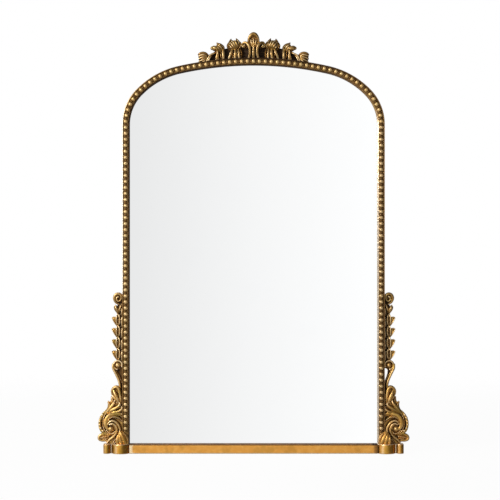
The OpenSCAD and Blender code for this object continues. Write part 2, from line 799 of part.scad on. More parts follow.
module finial() {
    t = crest_t;
    crown_y = finial_h - 3.4;
    strand([[0, 31, 2.2, 0.75 * t], [0, 42, 3.2, 0.95 * t], [0, crown_y, 3.4, t]], 2);
    strand([[11, 36, 2.2, 0.6 * t], [12.2, 46, 2.8, 0.8 * t], [8.2, crown_y - 3, 3.4, 0.9 * t],
        [0, crown_y, 3.4, t], [-8.2, crown_y - 3, 3.4, 0.9 * t], [-12.2, 46, 2.8, 0.8 * t],
        [-11, 36, 2.2, 0.6 * t]]);
    both_sides() {
        strand([[4.4, 32, 1.8, 0.7 * t], [6.6, 43, 2.2, 0.85 * t], [5, crown_y - 3, 2, 0.9 * t]], 1);
        strand([[24, 33.5, 1.6, 0.6 * t], [19, 37.5, 2.4, 0.8 * t], [13, 33, 2.6, 0.85 * t],
            [9.6, 21, 2.8, 0.9 * t], [8.6, 10, 2.6, 0.8 * t], [8.8, -2, 2.4, 0.65 * t]]);
        strand([[22.6, 35, 1.6, 0.6 * t], [22.6, 27, 2.4, 0.7 * t], [18.5, 25, 1.8, 0.6 * t]], 1);
    }
    strand([[0, 33, 1.8, 0.75 * t], [0, 20, 2.5, 0.85 * t], [0, -2, 2.6, 0.75 * t]], 1);
}

module flower() {
    t = crest_t;
    strand([[46, 19, 2.6, 0.6 * t], [54.4, 24, 3.1, 0.8 * t], [60, 33, 3, 0.8 * t],
        [58.6, 39, 1.8, 0.6 * t]], 1);
    strand([[47, 20, 2.6, 0.7 * t], [53.5, 30, 3.2, 0.9 * t], [55.5, 39, 2.8, 0.85 * t],
        [54, 46, 1.6, 0.6 * t]]);
    strand([[44, 20, 2.6, 0.7 * t], [46, 30, 3.4, t], [45, 39, 3, 0.95 * t], [41, 47, 1.6, 0.6 * t]]);
    strand([[42, 20, 2.6, 0.7 * t], [37.5, 29, 3, 0.9 * t], [35, 37, 2.6, 0.8 * t],
        [37, 43.5, 1.6, 0.6 * t]], 1);
    strand([[40, 20, 2.4, 0.6 * t], [32.4, 26, 2.6, 0.75 * t], [29.5, 33, 2.4, 0.7 * t],
        [30.5, 38, 1.6, 0.6 * t]], 1);
    strand(ring_points([47, 34], 4.6, -60, 250, 6, 1.8, 1.05 * t), 1);
    strand([[50, 22, 2, 0.6 * t], [53, 12, 2.4, 0.7 * t], [57.5, 0, 2.2, 0.6 * t]], 1);
    strand([[49, 22, 2, 0.6 * t], [48.6, 11, 2.2, 0.7 * t], [52.5, -2, 2, 0.6 * t]], 1);
    strand([[43.5, 22, 2.6, 0.7 * t], [43.3, 10, 2.8, 0.8 * t], [44.2, -4, 2.6, 0.65 * t]], 1);
    strand([[37, 22, 2.2, 0.6 * t], [35.5, 11, 2.4, 0.7 * t], [36, -3, 2.2, 0.6 * t]], 1);
}

module bell() {
    t = crest_t;
    strand([[86, 14, 2.8, 0.65 * t], [93, 18, 4, 0.85 * t], [98.6, 24, 3.8, 0.85 * t],
        [99.5, 28, 2, 0.6 * t]], 1);
    strand([[85.5, 15, 2.6, 0.7 * t], [91, 25, 3.2, 0.9 * t], [92.4, 31, 2, 0.7 * t]], 1);
    strand([[84, 15, 2.6, 0.7 * t], [86, 26.5, 3, 0.9 * t], [87.2, 35, 1.8, 0.6 * t]], 1);
    strand([[82.5, 15, 2.6, 0.65 * t], [80, 24, 2.8, 0.8 * t], [81, 31, 1.6, 0.6 * t]], 1);
    strand([[81, 15, 2.4, 0.6 * t], [75, 20.5, 2.6, 0.75 * t], [70.5, 25.5, 1.8, 0.6 * t]], 1);
    strand([[85, 17, 2.4, 0.6 * t], [86.2, 8, 2.8, 0.8 * t], [87, -8, 3.2, 0.7 * t]], 1);
    strand([[80.5, 17, 2.2, 0.6 * t], [79.3, 6, 2.2, 0.7 * t], [74.5, -6, 2, 0.6 * t]], 1);
    strand([[76, 19, 2.2, 0.6 * t], [73, 11, 2.4, 0.7 * t], [72.6, 0, 2, 0.6 * t]], 1);
}

module fan() {
    t = 0.9 * crest_t;
    strand([[110, -1, 2.6, 0.65 * t], [119, 7, 3.4, 0.85 * t], [126.5, 12, 3.2, 0.8 * t],
        [130.5, 9.5, 2, 0.6 * t]]);
    strand([[109.5, 0, 2.6, 0.65 * t], [115, 9, 3.2, 0.85 * t], [122, 15, 2, 0.65 * t]], 1);
    strand([[110, -2, 2.6, 0.7 * t], [121, 2, 3, 0.9 * t], [131, 0.5, 2, 0.6 * t]], 1);
    strand([[110, -3, 2.6, 0.7 * t], [118, -3, 2.8, 0.85 * t], [126, -6, 2.2, 0.65 * t]], 1);
    strand([[111, -4, 2.6, 0.65 * t], [115, -6, 2.6, 0.7 * t], [119, -11, 2, 0.6 * t]], 1);
    strand([[105, 7, 1.6, 0.55 * t], [107.8, 0, 2.4, 0.75 * t], [112, -12, 2.4, 0.65 * t]], 1);
}

module crest_finial() {
    color(GILT) stand() on_plate() finial();
}

module left_crest_flower() {
    color(GILT) stand() on_left() on_plate() flower();
}

module right_crest_flower() {
    color(GILT) stand() on_plate() flower();
}

module left_crest_bell() {
    color(GILT) stand() on_left() on_plate() bell();
}

module right_crest_bell() {
    color(GILT) stand() on_plate() bell();
}

module left_crest_fan() {
    color(GILT) stand() on_left() on_plate() fan();
}

module right_crest_fan() {
    color(GILT) stand() on_plate() fan();
}

// ---------- hangers ----------
// Drawn with the pivot's axis along x through the origin, and z towards the viewer.

module strap() {
    difference() {
        union() {
            translate([-strap_w / 2, -strap_l + strap_w / 2, loop_r])
                cube([strap_w, strap_l - strap_w / 2, strap_t]);
            translate([0, -strap_l + strap_w / 2, loop_r]) cylinder(h = strap_t, r = strap_w / 2, $fn = 64);
            rotate([0, 90, 0]) cylinder(h = strap_w, r = loop_r + strap_t, center = true, $fn = 48);
        }
        rotate([0, 90, 0]) cylinder(h = strap_w + 1, r = loop_r, center = true, $fn = 48);
        for (y = strap_screw_y) translate([0, y - hanger_z, loop_r - eps])
            cylinder(h = strap_t + 2 * eps, r = shank_r + screw_gap, $fn = 32);
    }
}

// A D-shaped ring: a straight bar through the loop and a half-round bow below it.
module d_ring() {
    rotate([0, 90, 0]) cylinder(h = 2 * bow_r, r = wire_r, center = true, $fn = 48);
    for (s = [-1, 1]) translate([s * bow_r, 0, 0]) sphere(wire_r, $fn = 48);
    rotate([0, 0, 180]) rotate_extrude(angle = 180, $fn = 96) translate([bow_r, 0]) circle(wire_r, $fn = 48);
}

module at_hanger() {
    translate([hanger_x, hanger_z, pivot_v]) children();
}

module left_strap() {
    color(STEEL) stand() on_left() at_hanger() strap();
}

module right_strap() {
    color(STEEL) stand() at_hanger() strap();
}

module left_ring() {
    color(STEEL) stand() on_left() at_hanger() d_ring();
}

module right_ring() {
    color(STEEL) stand() at_hanger() d_ring();
}

// ---------- screws ----------

module strap_screw() {
    cylinder(h = strap_t + strap_screw_l, r = shank_r, $fn = 32);
    translate([0, 0, -head_h]) cylinder(h = head_h, r1 = 0.8 * head_r, r2 = head_r, $fn = 32);
}

module strap_hole() {
    cylinder(h = strap_t + strap_screw_l + screw_gap, r = shank_r + screw_gap, $fn = 32);
}

module panel_screws() {
    color(STEEL) stand() frame_screw_places() screw(screw_l);
}

module batten_screws() {
    color(STEEL) stand() batten_screw_places() screw(screw_l);
}

module strap_screws() {
    color(STEEL) stand() strap_screw_places() strap_screw();
}

back_panel();
left_batten();
right_batten();
top_batten();
bottom_batten();
crest_batten();
mirror_glass();
setting_blocks();
base_rail();
left_plinth();
right_plinth();
left_stile();
right_stile();
left_haunch();
right_haunch();
left_shoulder();
right_shoulder();
crown();
left_bead_strip();
right_bead_strip();
arch_bead_strip();
left_garland();
right_garland();
left_volute();
right_volute();
left_scroll();
right_scroll();
left_foot_leaf();
right_foot_leaf();
crest_plate();
crest_finial();
left_crest_flower();
right_crest_flower();
left_crest_bell();
right_crest_bell();
left_crest_fan();
right_crest_fan();
left_strap();
right_strap();
left_ring();
right_ring();
panel_screws();
batten_screws();
strap_screws();
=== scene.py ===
import logging
import math
from dataclasses import dataclass, replace
from enum import Enum
from typing import Any, Sequence

import bmesh
import bpy
import numpy as np
from mathutils import Matrix, Vector


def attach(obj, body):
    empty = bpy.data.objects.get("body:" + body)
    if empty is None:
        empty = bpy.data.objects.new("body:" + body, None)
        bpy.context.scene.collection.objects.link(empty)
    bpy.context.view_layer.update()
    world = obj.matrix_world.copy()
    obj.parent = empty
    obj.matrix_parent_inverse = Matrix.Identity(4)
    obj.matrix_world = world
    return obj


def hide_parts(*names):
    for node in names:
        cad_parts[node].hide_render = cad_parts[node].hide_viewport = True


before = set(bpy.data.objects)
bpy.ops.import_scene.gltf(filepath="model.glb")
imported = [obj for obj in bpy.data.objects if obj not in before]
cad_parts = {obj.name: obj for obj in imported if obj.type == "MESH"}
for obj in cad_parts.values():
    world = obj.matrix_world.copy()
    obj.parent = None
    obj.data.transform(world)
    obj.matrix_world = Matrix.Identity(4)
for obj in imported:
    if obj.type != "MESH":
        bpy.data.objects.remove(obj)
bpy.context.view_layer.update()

LOG = logging.getLogger("pier_mirror")
MM = 0.001   # a millimetre of the flat drawing, in metres
WALL = 25.0  # how far the wall lies behind the middle, in millimetres
Colour = tuple[float, float, float]
Flat = tuple[float, float]


# ---------- shader maths ----------

class Value:
    """A socket's value in a node tree: Python arithmetic on it adds Math nodes."""

    def __init__(self, tree: "Tree", socket: bpy.types.NodeSocket | None) -> None:
        """Wraps an output socket of a tree, or none where the node is the tree's last."""
        self.tree = tree
        self.socket = socket

    def _math(self, operation: str, first: Any, second: Any = 0.0) -> "Value":
        """Adds one Math node; each input is a Value or a number."""
        return self.tree.node("ShaderNodeMath", {"operation": operation}, {0: first, 1: second})

    def __add__(self, other: Any) -> "Value":
        """Sum."""
        return self._math("ADD", self, other)

    def __radd__(self, other: Any) -> "Value":
        """Sum, the other way round."""
        return self._math("ADD", other, self)

    def __sub__(self, other: Any) -> "Value":
        """Difference."""
        return self._math("SUBTRACT", self, other)

    def __rsub__(self, other: Any) -> "Value":
        """Difference, the other way round."""
        return self._math("SUBTRACT", other, self)

    def __mul__(self, other: Any) -> "Value":
        """Product."""
        return self._math("MULTIPLY", self, other)

    def __rmul__(self, other: Any) -> "Value":
        """Product, the other way round."""
        return self._math("MULTIPLY", other, self)

    def larger(self, other: Any) -> "Value":
        """The larger of two values."""
        return self._math("MAXIMUM", self, other)

    def step(self, low: float, high: float, to: Flat = (0.0, 1.0)) -> "Value":
        """Smooth step between two levels.

        Args:
            low: Level at and below which the result is the first end.
            high: Level at and above which it is the second end.
            to: The result's two ends.

        Returns:
            The stepped value.
        """
        return self.tree.node(
            "ShaderNodeMapRange", {"interpolation_type": "SMOOTHSTEP"},
            {"Value": self, "From Min": low, "From Max": high, "To Min": to[0], "To Max": to[1]})


class Tree:
    """A material's or the world's node tree."""

    def __init__(self, tree: bpy.types.NodeTree) -> None:
        """Empties the tree.

        Args:
            tree: The node tree to build in.
        """
        self.nodes = tree.nodes
        self.links = tree.links
        self.nodes.clear()

    def node(self, kind: str, settings: dict[str, Any] | None = None,
             inputs: dict[Any, Any] | None = None, output: Any = 0) -> Value:
        """Adds a node.

        Args:
            kind: The node's type.
            settings: Its properties; "stops" is a colour ramp's list of (place, colour).
            inputs: Its sockets by name or number, each a Value to link or a plain value.
            output: The output to hand back, by name or number.

        Returns:
            The chosen output.
        """
        made = self.nodes.new(kind)
        for name, setting in (settings or {}).items():
            if name == "stops":
                self._stops(made.color_ramp, setting)
            else:
                setattr(made, name, setting)
        for name, value in (inputs or {}).items():
            if isinstance(value, Value):
                self.links.new(value.socket, made.inputs[name])
            else:
                socket = made.inputs[name]
                socket.default_value = (*value, 1.0) if socket.type == "RGBA" else value
        return Value(self, made.outputs[output] if len(made.outputs) else None)

    @staticmethod
    def _stops(ramp: bpy.types.ColorRamp, stops: Sequence[tuple[float, Colour]]) -> None:
        """Sets a colour ramp's stops.

        Args:
            ramp: The ramp.
            stops: Places and colours, from left to right.
        """
        while len(ramp.elements) < len(stops):
            ramp.elements.new(0.5)
        for element, (place, colour) in zip(ramp.elements, stops):
            element.position = place
            element.color = (*colour, 1.0)

    def mix(self, first: Any, second: Any, factor: Any) -> Value:
        """Mixes two colours, from the first at factor 0 to the second at factor 1."""
        return self.node("ShaderNodeMix", {"data_type": "RGBA"}, {0: factor, 6: first, 7: second}, 2)

    def place(self, stretch: tuple[float, float, float] = (1.0, 1.0, 1.0)) -> Value:
        """Object coordinates in metres, each multiplied by its stretch."""
        where = self.node("ShaderNodeTexCoord", output="Object")
        return self.node("ShaderNodeVectorMath", {"operation": "MULTIPLY"}, {0: where, 1: stretch})

    def noise(self, scale: float, detail: float = 3.0, rough: float = 0.55,
              where: Value | None = None) -> Value:
        """Fractal noise, about 0.5 in the middle.

        Args:
            scale: Features to the metre.
            detail: Octaves.
            rough: How strong the finer octaves are.
            where: Coordinates; the object's own by default.

        Returns:
            The noise.
        """
        return self.node("ShaderNodeTexNoise", None,
                         {"Vector": where or self.place(), "Scale": scale, "Detail": detail,
                          "Roughness": rough})

    def attribute(self, name: str) -> Value:
        """A number kept on the mesh's points under a name."""
        return self.node("ShaderNodeAttribute", {"attribute_name": name}, output="Fac")

    def bump(self, height: Value, depth: float, strength: float) -> Value:
        """A normal bumped by a height from 0 to 1, as deep as a depth in metres."""
        return self.node("ShaderNodeBump", None,
                         {"Strength": strength, "Distance": depth, "Height": height}, "Normal")

    def surface(self, **inputs: Any) -> None:
        """Ends the tree in a Principled surface.

        Args:
            **inputs: The shader's sockets, with _ for a space in their names.
        """
        named = {name.replace("_", " "): value for name, value in inputs.items()}
        shader = self.node("ShaderNodeBsdfPrincipled", None, named)
        self.node("ShaderNodeOutputMaterial", None, {"Surface": shader})


# ---------- finishes ----------

@dataclass(frozen=True)
class Finish:
    """A finish: what a maker would call the surface, and a slot name, which is not used."""

    title: str
    slot: str

    def dress(self, tree: Tree) -> None:
        """Builds the finish's nodes in a material's tree."""
        raise NotImplementedError

    def material(self) -> bpy.types.Material:
        """The finish's material, made once.

        Returns:
            The material.
        """
        made = bpy.data.materials.get(self.title)
        if made is None:
            made = bpy.data.materials.new(self.title)
            made.use_nodes = True
            self.dress(Tree(made.node_tree))
        return made


@dataclass(frozen=True)
class AntiqueGilt(Finish):
    """Gold leaf over red-brown bole, with patina and painted shade in the hollows, abrasion and painted
    highlights on the high edges.

    Attributes:
        leaf: The leaf's main colour.
        bright: Its brighter clouds.
        olive: Its greener drifts.
        bole: The clay that shows through.
        tone: The dark colour of patina and painted shade in the hollows.
        rubbed: The pale colour of abraded high edges and painted highlights.
        toning: How strongly the hollows are darkened, by patina and painted shade.
        highlight_and_wear_share: How strongly abraded edges and painted highlights are paled.
        polish: Roughness of the leaf.
        metal: How metallic it is.
        lacquer: Weight of the lacquer over it.
        lacquer_grain: Roughness of that lacquer.
    """

    leaf: Colour = (0.63, 0.370, 0.094)
    bright: Colour = (0.84, 0.54, 0.185)
    olive: Colour = (0.44, 0.30, 0.066)
    bole: Colour = (0.23, 0.095, 0.022)
    tone: Colour = (0.050, 0.022, 0.005)
    rubbed: Colour = (1.0, 0.83, 0.56)
    toning: float = 1.0
    highlight_and_wear_share: float = 0.9
    polish: float = 0.36
    metal: float = 0.74
    lacquer: float = 0.16
    lacquer_grain: float = 0.32

    def dress(self, tree: Tree) -> None:
        """Leaf, bole, patina and painted shade, abrasion and painted highlights, from the mesh's marks.

        Args:
            tree: The material's node tree.
        """
        cloud = tree.noise(62.0, 3.0)
        drift = tree.noise(34.0, 2.0)
        fleck = tree.noise(480.0, 4.0, 0.62)
        grain = tree.noise(1700.0, 2.0)
        # The hollow mark holds patina and painted shade, the edge mark abrasion and painted highlights; both
        # are painted into the colour here.
        hollow = tree.attribute("hollow") * self.toning
        rub = tree.attribute("rub")
        depth = hollow + (cloud - 0.5) * 0.26 + (fleck - 0.5) * 0.24
        shade_and_patina = depth.step(0.34, 0.92)
        reddened = depth.step(0.10, 0.50)
        pale_mask = (rub + (fleck - 0.5) * 0.45 + (cloud - 0.5) * 0.25 - shade_and_patina * 0.6).step(0.25, 0.85)
        colour = tree.mix(self.leaf, self.bright, cloud.step(0.42, 0.70, (0.0, 0.7)))
        colour = tree.mix(colour, self.olive, drift.step(0.50, 0.66, (0.0, 0.75)))
        colour = tree.mix(colour, self.bole, reddened * 0.62)
        colour = tree.mix(colour, self.tone, shade_and_patina)
        colour = tree.mix(colour, self.rubbed, pale_mask * self.highlight_and_wear_share)
        height = fleck * 0.6 + grain * 0.4
        tree.surface(Base_Color=colour, Metallic=self.metal - shade_and_patina * 0.50 - pale_mask * 0.16,
                     Roughness=self.polish + shade_and_patina * 0.30 + (grain - 0.5) * 0.14 + pale_mask * 0.04,
                     Specular_IOR_Level=0.22, Coat_Weight=self.lacquer - shade_and_patina * self.lacquer * 0.8,
                     Coat_Roughness=self.lacquer_grain, Normal=tree.bump(height, 0.0001, 0.6))


@dataclass(frozen=True)
class DarkGround(Finish):
    """Dark stained wood behind the crest's carving."""

    stain: Colour = (0.017, 0.008, 0.003)
    thin: Colour = (0.066, 0.033, 0.010)

    def dress(self, tree: Tree) -> None:
        """Matt stain, thinner along the grain and at the edges.

        Args:
            tree: The material's node tree.
        """
        grain = tree.noise(260.0, 4.0, 0.6, tree.place((0.12, 1.0, 1.0)))
        fleck = tree.noise(700.0, 3.0)
        edge = tree.attribute("rub")
        thin = (grain.step(0.5, 0.75) * 0.5 + edge * 0.7 + (fleck - 0.5) * 0.3).step(0.2, 1.0)
        tree.surface(Base_Color=tree.mix(self.stain, self.thin, thin), Roughness=0.72 - thin * 0.15,
                     Specular_IOR_Level=0.2,
                     Normal=tree.bump(grain * 0.7 + fleck * 0.3, 0.0002, 0.5))


@dataclass(frozen=True)
class SilveredGlass(Finish):
    """Silvered plate glass."""

    silver: Colour = (0.955, 0.962, 0.965)
    edge: Colour = (0.86, 0.885, 0.88)

    def dress(self, tree: Tree) -> None:
        """A clear mirror with the faintest unevenness in its silvering.

        Args:
            tree: The material's node tree.
        """
        haze = tree.noise(9.0, 3.0)
        tree.surface(Base_Color=tree.mix(self.silver, self.edge, haze.step(0.5, 0.9, (0.0, 0.12))),
                     Metallic=1.0, Roughness=haze.step(0.3, 0.8, (0.006, 0.018)))


class Grain(Enum):
    """The way that a board's grain runs: stretch along x, y and z."""

    UPRIGHT = (1.0, 1.0, 0.045)
    ACROSS = (0.045, 1.0, 1.0)


@dataclass(frozen=True)
class PlanedPine(Finish):
    """Planed pine battens."""

    grain: Grain = Grain.UPRIGHT
    early: Colour = (0.62, 0.43, 0.235)
    late: Colour = (0.40, 0.235, 0.105)

    def dress(self, tree: Tree) -> None:
        """Growth rings along the batten, with fine pores.

        Args:
            tree: The material's node tree.
        """
        along = tree.place(self.grain.value)
        waver = tree.noise(38.0, 2.0, 0.5, along)
        rings = tree.node("ShaderNodeMath", {"operation": "SINE"}, {0: waver * 62.0}) * 0.5 + 0.5
        pores = tree.noise(900.0, 3.0, 0.6, along)
        late = rings * rings * 0.75 + (pores - 0.5) * 0.5
        tree.surface(Base_Color=tree.mix(self.early, self.late, late.step(0.1, 0.95)),
                     Roughness=0.56 + pores * 0.14, Normal=tree.bump(late, 0.00015, 0.6))


@dataclass(frozen=True)
class Fibreboard(Finish):
    """Raw fibreboard, flecked with fibres."""

    board: Colour = (0.36, 0.235, 0.13)
    fibre: Colour = (0.50, 0.36, 0.22)

    def dress(self, tree: Tree) -> None:
        """Short fibres in every direction and a soft mottle.

        Args:
            tree: The material's node tree.
        """
        mottle = tree.noise(24.0, 4.0)
        fibres = tree.noise(900.0, 4.0, 0.7, tree.place((1.0, 1.0, 0.3)))
        mask = (fibres - 0.5) * 1.6 + mottle * 0.7
        tree.surface(Base_Color=tree.mix(self.board, self.fibre, mask.step(0.1, 0.9)),
                     Roughness=0.78 + (fibres - 0.5) * 0.2, Normal=tree.bump(fibres, 0.0001, 0.5))


@dataclass(frozen=True)
class ZincSteel(Finish):
    """Zinc-plated steel of the hangers and screws."""

    zinc: Colour = (0.60, 0.595, 0.57)
    dull: Colour = (0.36, 0.355, 0.34)

    def dress(self, tree: Tree) -> None:
        """Spangled plating with dull patches and drawn scratches.

        Args:
            tree: The material's node tree.
        """
        spangle = tree.node("ShaderNodeTexVoronoi", None, {"Vector": tree.place(), "Scale": 700.0})
        patch = tree.noise(180.0, 4.0)
        scratch = tree.noise(2600.0, 2.0, 0.5, tree.place((1.0, 1.0, 0.08)))
        dull = (patch + spangle * 0.25).step(0.45, 0.85)
        tree.surface(Base_Color=tree.mix(self.zinc, self.dull, dull), Metallic=0.95,
                     Roughness=0.30 + dull * 0.22 + (scratch - 0.5) * 0.16,
                     Normal=tree.bump(scratch, 0.00003, 0.5))


@dataclass(frozen=True)
class BlackRubber(Finish):
    """Matt rubber of the setting blocks."""

    rubber: Colour = (0.022, 0.022, 0.023)
    dust: Colour = (0.11, 0.105, 0.10)

    def dress(self, tree: Tree) -> None:
        """Dusty rubber.

        Args:
            tree: The material's node tree.
        """
        dust = tree.noise(500.0, 4.0)
        tree.surface(Base_Color=tree.mix(self.rubber, self.dust, dust.step(0.5, 0.85)),
                     Roughness=0.75 + (dust - 0.5) * 0.2, Normal=tree.bump(dust, 0.0001, 0.4))


FRAME_GILT = AntiqueGilt("antique_gilt_frame", "gilt_frame", leaf=(0.50, 0.30, 0.095),
                         rubbed=(0.86, 0.78, 0.66))
# Painted shade: a darker copy of the frame's gilt for the right side, away from the light.
FRAME_GILT_SHADED_RIGHT = replace(FRAME_GILT, title="antique_gilt_frame_shaded_right", leaf=(0.42, 0.265, 0.10),
                           bright=(0.60, 0.42, 0.20), rubbed=(0.49, 0.455, 0.41))
BEAD_GILT = AntiqueGilt("antique_gilt_beads", "gilt_frame", leaf=(0.50, 0.285, 0.072),
                        bright=(0.66, 0.42, 0.14), olive=(0.38, 0.25, 0.055), rubbed=(0.90, 0.69, 0.40),
                        highlight_and_wear_share=0.7, polish=0.39, metal=0.62)
# Painted shade: a darker copy of the beads' gilt for the right stile.
BEAD_GILT_SHADED_RIGHT = replace(BEAD_GILT, title="antique_gilt_beads_shaded_right", leaf=(0.40, 0.23, 0.06),
                          bright=(0.53, 0.335, 0.115), olive=(0.32, 0.21, 0.045), rubbed=(0.78, 0.59, 0.35))
BEAD_GILT_ARCH = replace(BEAD_GILT, title="antique_gilt_beads_arch", leaf=(0.44, 0.24, 0.048),
                         bright=(0.60, 0.37, 0.10), olive=(0.32, 0.205, 0.036), rubbed=(0.88, 0.64, 0.32))
BASE_GILT = AntiqueGilt("antique_gilt_base", "gilt_frame", leaf=(0.84, 0.385, 0.068),
                        bright=(0.96, 0.50, 0.11), olive=(0.66, 0.31, 0.05), rubbed=(1.0, 0.80, 0.50),
                        metal=0.88, lacquer=0.2)
CARVED_GILT = AntiqueGilt("antique_gilt_carving", "gilt_carving", leaf=(0.58, 0.335, 0.085),
                          bright=(0.80, 0.51, 0.17), rubbed=(1.0, 0.83, 0.57), highlight_and_wear_share=0.85, polish=0.40,
                          metal=0.82)
# Painted shade: a darker, browner copy of the carving's gilt for the right side.
CARVED_GILT_SHADED_RIGHT = replace(CARVED_GILT, title="antique_gilt_carving_shaded_right", leaf=(0.50, 0.265, 0.056),
                            bright=(0.70, 0.41, 0.115), olive=(0.36, 0.225, 0.045), rubbed=(1.0, 0.77, 0.47),
                            highlight_and_wear_share=0.72)
DARK_GILT = AntiqueGilt("antique_gilt_dark", "gilt_carving", leaf=(0.35, 0.185, 0.036),
                        bright=(0.54, 0.31, 0.08), olive=(0.26, 0.165, 0.032), rubbed=(0.99, 0.77, 0.45),
                        highlight_and_wear_share=0.74, polish=0.38, metal=0.85)
FINIAL_GILT = replace(DARK_GILT, title="antique_gilt_finial", leaf=(0.30, 0.16, 0.031),
                      bright=(0.46, 0.26, 0.066), highlight_and_wear_share=0.6)
FOOT_GILT = AntiqueGilt("antique_gilt_foot", "gilt_carving", leaf=(0.54, 0.275, 0.058),
                        bright=(0.74, 0.42, 0.11), olive=(0.40, 0.23, 0.04), rubbed=(0.98, 0.74, 0.45),
                        toning=0.62, highlight_and_wear_share=0.5, polish=0.42)
PLINTH_GILT = AntiqueGilt("antique_gilt_plinth", "gilt_frame", leaf=(0.65, 0.315, 0.048),
                          bright=(0.86, 0.49, 0.13), olive=(0.46, 0.255, 0.03), rubbed=(1.0, 0.80, 0.56),
                          polish=0.33, metal=0.9, lacquer=0.05)
GROUND = DarkGround("dark_stained_ground", "dark_ground")
SILVER = SilveredGlass("silvered_plate_glass", "mirror")
PINE_UPRIGHT = PlanedPine("planed_pine_upright", "pine")
PINE_ACROSS = PlanedPine("planed_pine_across", "pine", Grain.ACROSS)
BOARD = Fibreboard("raw_fibreboard", "panel_board")
ZINC = ZincSteel("zinc_plated_steel", "plated_steel")
RUBBER = BlackRubber("black_rubber", "rubber")


# ---------- meshes ----------

class Side(Enum):
    """The right side, as drawn, and the left, its mirror image."""

    RIGHT = 1
    LEFT = -1

    @property
    def word(self) -> str:
        """The side's word in the name of a piece."""
        return self.name.lower()


class Sharp(Enum):
    """Angle in degrees above which an edge stays sharp, by how the piece is made."""

    RUN = 30.0
    TURNED = 60.0
    CARVED = 70.0


class Shell:
    """A growing mesh in the flat drawing, in millimetres: across, up, and out from the wall."""

    def __init__(self) -> None:
        """Starts empty."""
        self.points: list[np.ndarray] = []
        self.marks: list[np.ndarray] = []
        self.faces: list[Sequence[int]] = []
        self.count = 0

    def loft(self, rings: np.ndarray, marks: np.ndarray | None = None) -> None:
        """Joins rings of points into one closed skin with capped ends.

        Args:
            rings: Points, as rings by points by 3.
            marks: Dark and pale marks of each point, as rings by points by 2.
        """
        n, m = rings.shape[:2]
        base = self.count
        self.points.append(rings.reshape(-1, 3))
        self.marks.append(np.zeros((n * m, 2)) if marks is None else marks.reshape(-1, 2))
        i, k = np.meshgrid(np.arange(n - 1), np.arange(m), indexing="ij")
        a = base + i * m + k
        b = base + i * m + (k + 1) % m
        self.faces.extend(np.stack([a, b, b + m, a + m], -1).reshape(-1, 4).tolist())
        self.faces.append(list(range(base + m - 1, base - 1, -1)))
        self.faces.append(list(range(base + (n - 1) * m, base + n * m)))
        self.count += n * m

    def ball(self, x: float, y: float, radius: float, top: float) -> None:
        """Adds a round boss on a stalk.

        Args:
            x: Its middle, across.
            y: Its middle, up.
            radius: Its radius.
            top: Height of its crown.
        """
        stalk = radius * 0.77
        turns = np.radians(np.arange(0, 360, 15))
        rise = np.radians(np.linspace(-40, 89, 12))
        heights = np.concatenate([[0.0], top - radius + radius * np.sin(rise)])
        radii = np.concatenate([[stalk], radius * np.cos(rise)])
        rings = np.stack([x + radii[:, None] * np.cos(turns), y + radii[:, None] * np.sin(turns),
                          np.repeat(heights[:, None], len(turns), 1)], -1)
        self.loft(rings)

    def slab(self, outline: Sequence[Flat], height: float) -> None:
        """Adds a flat slab on an outline of (across, up), with its back at height 0."""
        edge = np.array(outline)
        self.loft(np.stack([np.column_stack([edge, np.full(len(edge), v)]) for v in (0, height)]))

    def mesh(self, name: str) -> bpy.types.Mesh:
        """Makes the mesh, still in the flat drawing.

        Args:
            name: The mesh's name.

        Returns:
            The mesh, with its dark and pale marks as point attributes.
        """
        made = bpy.data.meshes.new(name)
        made.from_pydata(np.concatenate(self.points).tolist(), [], self.faces)
        marks = np.concatenate(self.marks)
        write_marks(made, marks[:, 0], marks[:, 1])
        sound = bmesh.new()
        sound.from_mesh(made)
        bmesh.ops.remove_doubles(sound, verts=sound.verts, dist=1e-4)
        bmesh.ops.recalc_face_normals(sound, faces=sound.faces)
        sound.to_mesh(made)
        sound.free()
        return made


def write_marks(mesh: bpy.types.Mesh, hollow: np.ndarray, rub: np.ndarray) -> None:
    """Keeps the dark and pale marks on a mesh's points.

    Args:
        mesh: The mesh.
        hollow: How dark each point is made, by patina and painted shade, 0 to 1.
        rub: How pale each point is made, by abrasion and painted highlight, 0 to 1.
    """
    for name, values in (("hollow", hollow), ("rub", rub)):
        kept = mesh.attributes.get(name) or mesh.attributes.new(name, "FLOAT", "POINT")
        kept.data.foreach_set("value", np.clip(values, 0, 1).astype(np.float32))


def stand(mesh: bpy.types.Mesh, side: Side = Side.RIGHT) -> bpy.types.Mesh:
    """Sets a flat drawing upright, in metres.

    Args:
        mesh: The mesh in the flat drawing; it is left as it is.
        side: The side that it is for.

    Returns:
        A copy of the mesh, upright.
    """
    made = mesh.copy()
    made.transform(Matrix(((side.value * MM, 0, 0, 0), (0, 0, -MM, WALL * MM), (0, MM, 0, 0), (0, 0, 0, 1))))
    if side is Side.LEFT:
        made.flip_normals()
    return made


def piece(name: str, mesh: bpy.types.Mesh, finish: Finish, sharp: Sharp, *nodes: str) -> None:
    """Makes a piece that rides on the frame and stands for its CAD nodes.

    Args:
        name: The piece's name.
        mesh: Its upright mesh.
        finish: Its finish.
        sharp: Which of its edges stay sharp.
        *nodes: The CAD nodes that it replaces.
    """
    mesh.name = name
    mesh.shade_smooth()
    mesh.set_sharp_from_angle(angle=math.radians(sharp.value))
    mesh.materials.clear()
    mesh.materials.append(finish.material())
    made = bpy.data.objects.new(name, mesh)
    bpy.context.scene.collection.objects.link(made)
    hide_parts(*nodes)
    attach(made, "frame")
    LOG.info("%s: %d points", name, len(mesh.vertices))


def both_sides(name: str, mesh: bpy.types.Mesh, right: Finish, left: Finish, node: str,
               sharp: Sharp) -> None:
    """Makes a right-hand piece and its mirror image; the names are without their side."""
    for side, finish in ((Side.RIGHT, right), (Side.LEFT, left)):
        piece(f"{side.word}_{name}", stand(mesh, side), finish, sharp, f"{side.word}_{node}")


# ---------- the arch ----------

